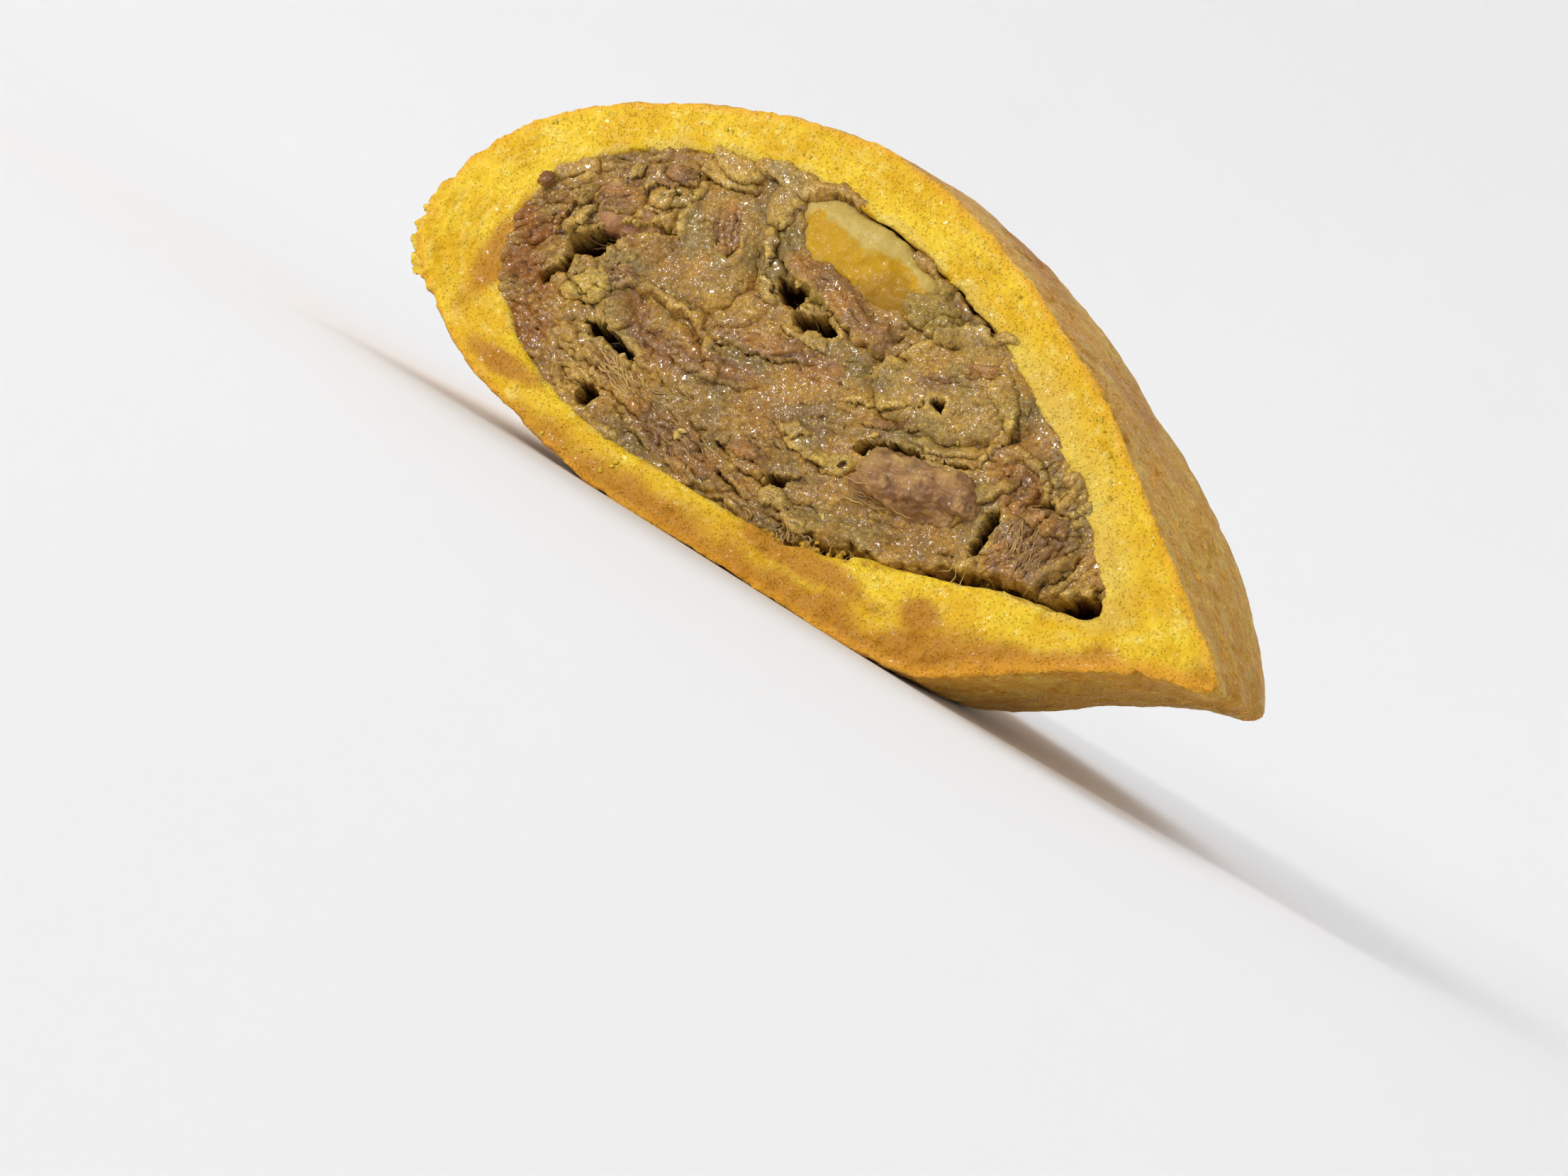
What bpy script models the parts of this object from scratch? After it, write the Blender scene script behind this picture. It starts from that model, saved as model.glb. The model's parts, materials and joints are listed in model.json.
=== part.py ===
"""Half of a fried corn-dough empanada, cut across its middle, lying on its flatter side.

The dough was folded along a straight edge (the fold, at -X), filled, and pinched shut along a round
edge (the seam, from +X round to the tip at +Y). The knife went through near y = 0 and leant back a
little, so the cut face looks towards -Y and slightly up. Every sub-part is a closed solid: the crust,
the filling, and the three larger pieces that show in the filling's torn face.

Lengths are in metres, +Z is up. Plan positions are worked out from the corner where the fold meets
the cut, with z = 0 at the level of the seam. All parts hang on one empty that brings the whole to its
origin: the centre of its footprint, on the surface it rests on.
"""

import math
from dataclasses import dataclass, replace

import bmesh
import bpy
from mathutils import Matrix, Vector, noise

MM = 0.001

# The whole half: fold to seam, cut to tip, and where the thickest part lies.
SEAM_REACH = 72.6 * MM  # from the fold to the seam's outer edge, along the cut
FOLD_LENGTH = 68.0 * MM  # from the cut to the tip, along the fold
CREST = 28.0 * MM  # distance of the dome's crest from the fold
DOME_HEIGHT = 20.8 * MM  # seam level to the top of the crust, at the cut
BELLY_DEPTH = 11.0 * MM  # seam level to the underside, before it flattened
REST_DEPTH = 10.3 * MM  # seam level to the flat underside

# Behind the cut the dome swells: it is higher, and it falls to the seam later.
SWELL_HEIGHT = 1.3 * MM
SWELL_FULLNESS = 0.4
SWELL_PLACE = 19.0 * MM

# The pinched seam, and the tip where it meets the fold.
SEAM_EDGE = 1.9 * MM  # half the thickness of the seam's rim
SCALLOPS = 14  # finger pinches from the cut to the tip
SCALLOP_DEPTH = 1.8 * MM
PINCH_DEPTH = 0.9 * MM  # groove that each pinch leaves on the rim
TIP_THICKNESS = 1.5 * MM  # how much the rim thickens at the tip, on each side
TIP_WIDTH = 14.0 * MM
TIP_ROUNDING = 1.4 * MM
FOLD_BOW = 0.7 * MM  # how far the fold bulges between the cut and the tip

# Hand-formed unevenness of the dough.
UNEVEN = 0.5 * MM
UNEVEN_SCALE = 15.0 * MM

# The knife's cut: its lean, and the level on it from which heights up the face are counted.
CUT_LEAN = math.radians(11.0)
CUT_LEVEL = 5.0 * MM
CUT_LOW = (-6.0 * MM, -24.0 * MM)
CUT_HIGH = (84.0 * MM, 27.0 * MM)
CUT_DEPTH = 160.0 * MM

# Pieces that touch keep this gap.
GAP = 0.3 * MM

# Mesh fineness.
SIDE_SEGMENTS = 188  # round the whole empanada, of which half is cut away
SIDE_RINGS = 22
POCKET_SEGMENTS = 64
POCKET_RINGS = 16
LUMP_SEGMENTS = 16
LUMP_RINGS = 11
RIM_SPACING = 1.5  # above 1, the rings gather at the rim
ARC_SHARE = 0.8  # share of the half plan's segments spent on the seam
KNIFE_STEP = 3.0 * MM
TORN_STEP = 1.7 * MM


@dataclass(frozen=True)
class Lens:
    """A folded pocket of dough or filling: a half-moon in plan, domed above and below its rim."""

    fold_x: float  # where the fold side lies
    reach: float  # from the fold corner to the seam side, along the cut
    length: float  # from the cut to the tip
    top: float  # height of the dome over the seam level
    bottom: float  # depth of the belly under the seam level
    floor: float  # depth at which the belly is flattened
    edge: float  # half the thickness at the rim
    fold_rim: float  # height of the rim along the fold
    top_bulge: float  # how bluntly the dome rounds over the fold
    belly_bulge: float  # how bluntly the belly rounds under the fold
    seam_power: float  # how steeply the dome falls to the seam
    belly_end: float  # share of the way to the seam at which the belly starts to rise
    pinched: float  # 1 for a scalloped and hand-formed surface, 0 for a plain one


CRUST = Lens(fold_x=0.0, reach=SEAM_REACH, length=FOLD_LENGTH, top=DOME_HEIGHT, bottom=BELLY_DEPTH,
             floor=REST_DEPTH, edge=SEAM_EDGE, fold_rim=1.9 * MM, top_bulge=1.55, belly_bulge=1.1,
             seam_power=1.35, belly_end=0.50, pinched=1.0)
POCKET = Lens(fold_x=7.2 * MM, reach=63.0 * MM, length=56.5 * MM, top=16.5 * MM, bottom=7.0 * MM,
              floor=6.7 * MM, edge=1.2 * MM, fold_rim=5.2 * MM, top_bulge=2.1, belly_bulge=1.75,
              seam_power=1.0, belly_end=0.25, pinched=0.0)


@dataclass(frozen=True)
class Lump:
    """A larger piece that shows in the filling, placed on the cut face in millimetres."""

    name: str
    along: float  # from the fold, along the cut
    depth: float  # into the filling
    up: float  # up the face, from the cut's own level
    half_size: tuple  # along, into and up the face
    turn: float  # in the face, in degrees
    seed: float  # picks its knobbly shape


POTATO = Lump("potato_wedge", 31.8, 1.2, 8.4, (8.4, 3.4, 2.9), 8.0, 1.0)
MEAT_RIGHT = Lump("meat_chunk_right", 46.6, 1.4, -3.2, (5.9, 3.2, 2.5), -14.0, 4.0)
MEAT_LEFT = Lump("meat_chunk_left", 13.2, 1.5, 3.4, (3.9, 2.8, 2.3), 12.0, 9.0)


def clear_scene():
    """Removes whatever the start-up scene holds."""
    for obj in list(bpy.data.objects):
        bpy.data.objects.remove(obj)


def new_collection(name):
    """A collection linked to the scene."""
    made = bpy.data.collections.new(name)
    bpy.context.scene.collection.children.link(made)
    return made


def new_material(name, colour, roughness):
    """A plain Principled material; food has no metal."""
    made = bpy.data.materials.new(name)
    made.use_nodes = True
    shader = made.node_tree.nodes["Principled BSDF"]
    shader.inputs["Base Color"].default_value = (*colour, 1.0)
    shader.inputs["Roughness"].default_value = roughness
    shader.inputs["Metallic"].default_value = 0.0
    return made


def smoothstep(low, high, value):
    """0 below low, 1 above high, and a smooth rise between."""
    share = min(max((value - low) / (high - low), 0.0), 1.0)
    return share * share * (3.0 - 2.0 * share)


def pinch(share):
    """How deep in a pinch this place on the plan's outline is: 1 in a notch, 0 on a lobe."""
    if share > ARC_SHARE - 0.02:
        return 0.0
    along = share / ARC_SHARE
    wander = 0.22 * math.sin(5.1 * along) + 0.10 * math.sin(17.3 * along + 1.0)
    lobe = abs(math.sin(math.pi * (SCALLOPS * along + wander + 0.35)))
    return 1.0 - lobe ** 0.62


def plan_edge(lens, share):
    """The plan's outline, from the seam end of the cut (0) round the tip to the fold corner (1)."""
    if share <= ARC_SHARE:
        angle = share / ARC_SHARE * math.pi / 2
        across = lens.fold_x + (lens.reach - lens.fold_x) * math.cos(angle)
        edge = Vector((across, lens.length * math.sin(angle)))
    else:
        along = (share - ARC_SHARE) / (1.0 - ARC_SHARE)
        bow = FOLD_BOW * math.sin(math.pi * along)
        edge = Vector((lens.fold_x - bow, lens.length * (1.0 - along)))
    corner = math.exp(-((share - ARC_SHARE) / 0.025) ** 2)
    return edge + Vector((1.0, -1.0)) * TIP_ROUNDING * corner


def way_to_seam(lens, x, y):
    """0 where the dome has its full height, 1 at the seam."""
    reach = lens.reach - lens.fold_x
    radius = math.hypot(x - lens.fold_x, y * reach / lens.length)
    inner = CREST - lens.fold_x
    return min(max((radius - inner) / (reach - inner), 0.0), 1.0)


def fall_to_seam(lens, x, y):
    """Share of the dome's height that is left on the way to the seam."""
    power = lens.seam_power - SWELL_FULLNESS * smoothstep(0.0, SWELL_PLACE, y)
    return (1.0 - way_to_seam(lens, x, y) ** 2) ** power


def rise_from_fold(lens, x, y, bulge):
    """0 at the fold, 1 from the crest on, rounded like the folded edge of a thick sheet."""
    local = 0.25 + 0.75 * fall_to_seam(lens, lens.fold_x, y)
    share = min(max((x - lens.fold_x) / ((CREST - lens.fold_x) * local), 0.0), 1.0)
    return max(1.0 - (1.0 - share) ** bulge, 0.0) ** 0.5


def hand_formed(x, y, height):
    """The dough's unevenness at a point, out of the surface."""
    sample = Vector((x, y, 2.0 * height)) / UNEVEN_SCALE
    finer = sample * 2.3 + Vector((7.0, 1.0, 4.0))
    return UNEVEN * (noise.noise(sample) + 0.45 * noise.noise(finer))


def upper_height(lens, x, y, rim, thick):
    """Height of the upper side over the seam level."""
    swell = SWELL_HEIGHT * smoothstep(0.0, SWELL_PLACE, y)
    dome = rise_from_fold(lens, x, y, lens.top_bulge) * fall_to_seam(lens, x, y)
    return rim + (lens.top + swell - lens.edge - rim) * dome + thick


def lower_height(lens, x, y, rim, thick):
    """Height of the underside, before it flattened; below the seam level it is negative."""
    belly = rise_from_fold(lens, x, y, lens.belly_bulge)
    belly *= 1.0 - smoothstep(lens.belly_end, 0.94, way_to_seam(lens, x, y))
    return rim - (lens.bottom - lens.edge + rim) * belly - thick


def rim_thickness(lens, x, y, out):
    """Half the thickness that the rim adds: full inside, rounded off at the edge."""
    tip = smoothstep(0.6, 0.95, y / lens.length) * (1.0 - smoothstep(0.0, TIP_WIDTH, x))
    full = lens.edge + lens.pinched * TIP_THICKNESS * tip
    return full * max(1.0 - out ** 8, 0.0) ** 0.5


def lens_point(lens, direction):
    """Where a point of the unit sphere goes on the pocket: azimuth is the spoke, height the ring."""
    level = abs(math.asin(min(max(direction.z, -1.0), 1.0))) / (math.pi / 2)
    out = 1.0 - level ** RIM_SPACING
    share = abs(math.atan2(direction.y, direction.x)) / math.pi if out > 0.001 else 0.0
    notch = lens.pinched * pinch(share)
    edge = plan_edge(lens, share)
    centre = Vector((CREST, 0.0))
    flat = centre + (edge - centre) * out - edge.normalized() * SCALLOP_DEPTH * notch * out ** 14
    x, y = flat
    rim = lens.fold_rim * (1.0 - smoothstep(0.0, CREST, x)) * (1.0 - way_to_seam(lens, x, y))
    thick = rim_thickness(lens, x, y, out)
    if level < 0.001:
        height = rim
    elif direction.z > 0.0:
        height = upper_height(lens, x, y, rim, thick)
        height -= PINCH_DEPTH * notch * smoothstep(0.80, 0.97, out) * thick / lens.edge
        height += lens.pinched * hand_formed(x, y, height) * (1.0 - out ** 6)
    else:
        height = lower_height(lens, x, y, rim, thick)
        height -= lens.pinched * hand_formed(x, y, height) * (1.0 - out ** 6)
    return Vector((x, math.copysign(y, direction.y), max(height, -lens.floor)))


def shrunk(lens, by):
    """The same pocket with every wall moved in by a gap."""
    return replace(lens, fold_x=lens.fold_x + by, reach=lens.reach - by, length=lens.length - by,
                   top=lens.top - by, bottom=lens.bottom - by, floor=lens.floor - by,
                   edge=lens.edge - by)


def lens_mesh(name, lens, segments, rings):
    """A sphere whose every point is moved onto the pocket."""
    mesh = bpy.data.meshes.new(name)
    work = bmesh.new()
    bmesh.ops.create_uvsphere(work, u_segments=segments, v_segments=rings, radius=1.0)
    for vert in work.verts:
        vert.co = lens_point(lens, vert.co.copy())
    bmesh.ops.recalc_face_normals(work, faces=work.faces)
    work.to_mesh(mesh)
    work.free()
    mesh.shade_smooth()
    return mesh


def add_object(name, mesh, collection, parent, material=None):
    """An object for a mesh, in its collection."""
    obj = bpy.data.objects.new(name, mesh)
    collection.objects.link(obj)
    obj.parent = parent
    if material:
        mesh.materials.append(material)
    return obj


def add_cutter(name, mesh, parent):
    """A helper that shapes other pieces and isn't one itself."""
    obj = add_object(name, mesh, bpy.data.collections["Cutters"], parent)
    obj.hide_render = True
    obj.display_type = "WIRE"
    return obj


def add_boolean(obj, cutter, operation):
    """A live Boolean with the exact solver."""
    modifier = obj.modifiers.new(f"{operation.title()} {cutter.name}", "BOOLEAN")
    modifier.operation = operation
    modifier.object = cutter


def cut_frame():
    """The cut face's own frame: x along the cut, y into the food, z up the face."""
    return Matrix.Translation((0.0, 0.0, CUT_LEVEL)) @ Matrix.Rotation(-CUT_LEAN, 4, "X")


def crust_relief(x, up):
    """How far the dough's cut stands out: the knife dragged it out along the lower lip."""
    lip = smoothstep(30.0 * MM, 50.0 * MM, x) * smoothstep(-1.0 * MM, -9.0 * MM, up)
    return 1.3 * MM * lip + 0.25 * MM * noise.noise(Vector((x, 3.0 * MM, up)) / (6.0 * MM))


def filling_relief(x, up):
    """How far the filling's torn face stands out: lumps on a shallow swelling, with pits between."""
    place = Vector((x, 0.0, up))
    finer = place / (3.6 * MM) + Vector((5.0, 2.0, 9.0))
    lumps = noise.noise(place / (7.5 * MM)) + 0.55 * noise.noise(finer)
    middle = math.exp(-(((x - 30.0 * MM) / (20.0 * MM)) ** 2) - ((up - 1.0 * MM) / (8.0 * MM)) ** 2)
    return 1.3 * MM * middle + 1.35 * MM * lumps - 0.9 * MM


def face_cutter(name, relief, step, parent):
    """A block that removes all that lies in front of the cut face; its own face has the relief."""
    mesh = bpy.data.meshes.new(name)
    work = bmesh.new()
    width = CUT_HIGH[0] - CUT_LOW[0]
    rise = CUT_HIGH[1] - CUT_LOW[1]
    bmesh.ops.create_grid(work, x_segments=round(width / step), y_segments=round(rise / step), size=0.5)
    for vert in work.verts:
        x = CUT_LOW[0] + (vert.co.x + 0.5) * width
        up = CUT_LOW[1] + (vert.co.y + 0.5) * rise
        vert.co = Vector((x, -relief(x, up), up))
    sheet = bmesh.ops.extrude_face_region(work, geom=list(work.faces))
    for vert in [item for item in sheet["geom"] if isinstance(item, bmesh.types.BMVert)]:
        vert.co.y = -CUT_DEPTH
        vert.co.z *= 4.0
    work.transform(cut_frame())
    bmesh.ops.recalc_face_normals(work, faces=work.faces)
    work.to_mesh(mesh)
    work.free()
    return add_cutter(name, mesh, parent)


def lump_mesh(name, lump, grow):
    """A knobbly, slightly boxy lump sitting in the cut face."""
    mesh = bpy.data.meshes.new(name)
    work = bmesh.new()
    bmesh.ops.create_uvsphere(work, u_segments=LUMP_SEGMENTS, v_segments=LUMP_RINGS, radius=1.0)
    centre = Vector((lump.along, lump.depth, lump.up)) * MM
    spin = Matrix.Rotation(math.radians(lump.turn), 4, "Y")
    for vert in work.verts:
        knob = 1.0 + 0.13 * noise.noise(vert.co * 1.9 + Vector((lump.seed, 0.0, 0.0)))
        boxy = [math.copysign(abs(part) ** 0.8, part) for part in vert.co]
        reach = [half * MM * knob + grow for half in lump.half_size]
        vert.co = centre + spin @ Vector([part * far for part, far in zip(boxy, reach)])
    work.transform(cut_frame())
    bmesh.ops.recalc_face_normals(work, faces=work.faces)
    work.to_mesh(mesh)
    work.free()
    mesh.shade_smooth()
    return mesh


def build_crust(parts, parent):
    """The dough: the outer pocket, less the filled space and what the knife took away."""
    dough = new_material("fried_dough", (0.83, 0.47, 0.06), 0.5)
    crust = add_object("crust", lens_mesh("crust", CRUST, SIDE_SEGMENTS, SIDE_RINGS), parts, parent, dough)
    hollow = add_cutter("hollow", lens_mesh("hollow", POCKET, POCKET_SEGMENTS, POCKET_RINGS), parent)
    knife = face_cutter("knife", crust_relief, KNIFE_STEP, parent)
    add_boolean(crust, hollow, "DIFFERENCE")
    add_boolean(crust, knife, "DIFFERENCE")
    return crust


def build_filling(parts, parent):
    """The meat and potato mash with its torn face."""
    mash = new_material("meat_filling", (0.32, 0.19, 0.08), 0.5)
    inside = shrunk(POCKET, GAP)
    mesh = lens_mesh("filling", inside, POCKET_SEGMENTS, POCKET_RINGS)
    filling = add_object("filling", mesh, parts, parent, mash)
    torn = face_cutter("torn_face", filling_relief, TORN_STEP, parent)
    add_boolean(filling, torn, "DIFFERENCE")
    return filling


def build_lump(lump, material, filling, parts, parent):
    """One larger piece, kept inside the filled space, and its seat in the mash."""
    piece = add_object(lump.name, lump_mesh(lump.name, lump, 0.0), parts, parent, material)
    seat = add_cutter(f"{lump.name}_seat", lump_mesh(f"{lump.name}_seat", lump, GAP), parent)
    add_boolean(piece, bpy.data.objects["filled_space"], "INTERSECT")
    add_boolean(filling, seat, "DIFFERENCE")


def settle(parent, crust):
    """Moves the empty so that the footprint's centre is the origin and the underside is at z = 0."""
    bpy.context.view_layer.update()
    shaped = crust.evaluated_get(bpy.context.evaluated_depsgraph_get())
    corners = [vert.co for vert in shaped.data.vertices]
    low = Vector([min(corner[axis] for corner in corners) for axis in range(3)])
    high = Vector([max(corner[axis] for corner in corners) for axis in range(3)])
    parent.location = -Vector(((low.x + high.x) / 2, (low.y + high.y) / 2, low.z))


def main():
    """Builds the half empanada."""
    clear_scene()
    parts = new_collection("HalfEmpanada")
    new_collection("Cutters")
    parent = bpy.data.objects.new("half_empanada", None)
    parts.objects.link(parent)
    crust = build_crust(parts, parent)
    filling = build_filling(parts, parent)
    space = lens_mesh("filled_space", shrunk(POCKET, GAP), POCKET_SEGMENTS, POCKET_RINGS)
    add_cutter("filled_space", space, parent)
    potato = new_material("potato", (0.60, 0.42, 0.08), 0.4)
    meat = new_material("meat", (0.27, 0.14, 0.06), 0.5)
    build_lump(POTATO, potato, filling, parts, parent)
    build_lump(MEAT_RIGHT, meat, filling, parts, parent)
    build_lump(MEAT_LEFT, meat, filling, parts, parent)
    settle(parent, crust)


main()
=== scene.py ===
"""Dresses half of a fried corn-dough empanada that lies on its flatter side, cut face in front.

The crust is one closed piece with a fried skin outside and moist yellow crumb on the cut. The torn
filling is a relief of mash and shredded meat that stands in the crust's pocket, with the larger
pieces, the loose shreds, the fibres and the grains as meshes of their own on top.

Places on the cut face are given in the face's own frame: x runs along the cut from the fold, into
runs into the food, and up runs up the face from the level of the seam. Lengths are in metres.
"""

from __future__ import annotations

import json
import logging
import math
import random
from dataclasses import dataclass, field
from enum import Enum

import bmesh
import bpy
from mathutils import Matrix, Vector, noise
from mathutils.bvhtree import BVHTree

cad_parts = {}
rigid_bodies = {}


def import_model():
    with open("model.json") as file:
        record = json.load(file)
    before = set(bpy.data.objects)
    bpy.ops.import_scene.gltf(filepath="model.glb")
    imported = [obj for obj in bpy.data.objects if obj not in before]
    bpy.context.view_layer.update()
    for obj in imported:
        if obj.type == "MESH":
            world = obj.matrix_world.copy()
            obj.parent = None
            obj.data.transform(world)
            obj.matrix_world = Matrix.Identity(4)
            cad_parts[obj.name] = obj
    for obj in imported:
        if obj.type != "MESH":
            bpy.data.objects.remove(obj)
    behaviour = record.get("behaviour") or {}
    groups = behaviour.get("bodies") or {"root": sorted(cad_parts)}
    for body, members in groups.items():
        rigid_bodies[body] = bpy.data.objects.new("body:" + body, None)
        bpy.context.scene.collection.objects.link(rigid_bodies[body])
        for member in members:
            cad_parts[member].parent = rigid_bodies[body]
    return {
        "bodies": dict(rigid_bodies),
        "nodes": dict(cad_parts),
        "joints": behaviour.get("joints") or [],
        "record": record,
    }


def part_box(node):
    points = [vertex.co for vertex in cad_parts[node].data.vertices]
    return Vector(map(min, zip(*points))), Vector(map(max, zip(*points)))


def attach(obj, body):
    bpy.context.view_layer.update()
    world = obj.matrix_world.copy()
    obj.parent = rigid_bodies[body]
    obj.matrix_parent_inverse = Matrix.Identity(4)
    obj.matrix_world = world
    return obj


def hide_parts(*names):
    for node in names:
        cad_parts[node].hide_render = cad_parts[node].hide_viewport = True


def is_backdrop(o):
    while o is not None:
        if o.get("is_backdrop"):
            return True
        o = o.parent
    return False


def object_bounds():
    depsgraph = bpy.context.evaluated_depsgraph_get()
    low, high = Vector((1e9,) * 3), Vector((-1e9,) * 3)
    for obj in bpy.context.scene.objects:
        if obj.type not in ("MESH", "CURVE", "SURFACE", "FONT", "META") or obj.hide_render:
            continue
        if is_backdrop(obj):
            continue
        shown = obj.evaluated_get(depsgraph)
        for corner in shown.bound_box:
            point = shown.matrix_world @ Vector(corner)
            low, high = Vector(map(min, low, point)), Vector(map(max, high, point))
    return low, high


LOG = logging.getLogger("empanada")
MM = 0.001
# deep darkens the mash: painted shade in the hollows, and dark bits. pale is the mash's own
# paleness plus painted highlights on the crests.
MASH_VALUES = ("meat", "potato", "pale", "oily", "deep")
DOUGH_VALUES = ("crumb", "lip", "stain", "brown", "streak", "soaked")
WHOLE_CELL = 2.0  # a speck's radius, in cells, that covers its cell to the corners
SEAM_MIDDLE = 20.0 * MM  # middle of the seam's arc, along the cut
Colour = tuple[float, float, float]


def smoothstep(low: float, high: float, value: float) -> float:
    """Smooth rise from 0 at low to 1 at high.

    Args:
        low: Value at which the rise starts.
        high: Value at which it ends; below low, the rise is a fall.
        value: Value to place.

    Returns:
        Share of the rise, from 0 to 1.
    """
    share = min(max((value - low) / (high - low), 0.0), 1.0)
    return share * share * (3.0 - 2.0 * share)


def grain(place: Vector, size: float, seed: float = 0.0) -> float:
    """Smooth noise of one feature size.

    Args:
        place: Where to read it.
        size: Feature size in metres.
        seed: Shifts the pattern.

    Returns:
        A value from about -1 to 1.
    """
    return noise.noise(place / size + Vector((seed, 2.7 * seed, 1.3 * seed)))


def pits(place: Vector, size: float, share: float) -> float:
    """Round pits scattered one to a cell.

    Args:
        place: Where to read them.
        size: Size of a cell in metres.
        share: Share of the cell that the pit's radius takes.

    Returns:
        Depth from 0 between pits to 1 at a pit's middle.
    """
    distance = noise.voronoi(place / size)[0][0]
    return 1.0 - smoothstep(0.3 * share, share, distance)


def turned(x: float, up: float, angle: float) -> tuple[float, float]:
    """Place along and across a direction that is turned by an angle in radians."""
    return x * math.cos(angle) + up * math.sin(angle), up * math.cos(angle) - x * math.sin(angle)


def relax(work: bmesh.types.BMesh, verts: object, passes: int, sideways: bool = True) -> None:
    """Smooths vertices.

    Args:
        work: The shape.
        verts: Those of its vertices that move.
        passes: How often they are smoothed.
        sideways: False moves them along y only.
    """
    for _ in range(passes):
        bmesh.ops.smooth_vert(work, verts=verts, factor=0.5, use_axis_x=sideways, use_axis_y=True,
                              use_axis_z=sideways)


@dataclass(frozen=True)
class Box:
    """The room that the visual model has to stay in."""

    low: Vector
    high: Vector

    def keep(self, place: Vector) -> Vector:
        """The nearest place inside the box."""
        return Vector([min(max(place[i], self.low[i]), self.high[i]) for i in range(3)])


@dataclass(frozen=True)
class CutFace:
    """The plane of the knife's cut and the frame on it."""

    corner: Vector
    lean: float = math.radians(11.0)

    @classmethod
    def of_crust(cls) -> CutFace:
        """Places the face from the crust's own box.

        Returns:
            The cut face; its corner is where the fold, the cut and the seam's level meet.
        """
        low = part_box("crust")[0]
        return cls(Vector((low.x + 0.70 * MM, low.y + 3.35 * MM, 10.3 * MM)))

    def frame(self) -> Matrix:
        """Matrix from the face's frame to the world."""
        return Matrix.Translation(self.corner) @ Matrix.Rotation(-self.lean, 4, "X")

    def place(self, x: float, into: float, up: float) -> Vector:
        """World place of a point given in the face's frame."""
        return self.frame() @ Vector((x, into, up))


class Stuff(Enum):
    """What a patch of the torn filling is made of."""

    MASH = "mash"
    MEAT = "meat"
    POTATO = "potato"
    SMEAR = "smear"
    HOLE = "hole"


@dataclass(frozen=True)
class Patch:
    """One patch of the torn face, in millimetres on the face."""

    stuff: Stuff
    x: float
    up: float
    half_x: float
    half_up: float
    turn: float
    height: float
    tone: float = 0.0
    cliff: float = -50.0

    def reach(self, x: float, up: float) -> tuple[float, float, float, float]:
        """How far out a place lies, as a share of the patch, and where round it.

        Args:
            x: Place along the cut, in millimetres.
            up: Place up the face, in millimetres.

        Returns:
            The share (1 at the patch's edge), the local place along and across it, and how far
            it lies on the patch's steep side, from 0 to 1.
        """
        angle = math.radians(self.turn)
        along, across = turned(x - self.x, up - self.up, angle)
        lean_x, lean_up = along / self.half_x ** 2, across / self.half_up ** 2
        steep = math.radians(self.cliff) - angle
        side = lean_x * math.cos(steep) + lean_up * math.sin(steep)
        size = math.hypot(lean_x, lean_up)
        far = math.hypot(along / self.half_x, across / self.half_up)
        return far, along, across, 0.5 + 0.5 * side / size if size else 0.5


def finish_mesh(name: str, work: bmesh.types.BMesh, material: bpy.types.Material,
                box: Box | None = None) -> bpy.types.Object:
    """Turns a finished bmesh into a smooth-shaded object that rides on the food.

    Args:
        name: Name of the piece.
        work: The shape, which is freed.
        material: Its finish.
        box: Room it has to stay in, or None.

    Returns:
        The new object.
    """
    if box:
        for vert in work.verts:
            vert.co = box.keep(vert.co)
    mesh = bpy.data.meshes.new(name)
    work.to_mesh(mesh)
    work.free()
    mesh.shade_smooth()
    mesh.materials.append(material)
    piece = bpy.data.objects.new(name, mesh)
    bpy.context.scene.collection.objects.link(piece)
    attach(piece, "root")
    mesh.calc_loop_triangles()
    LOG.info("%s: %d triangles", name, len(mesh.loop_triangles))
    return piece


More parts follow.
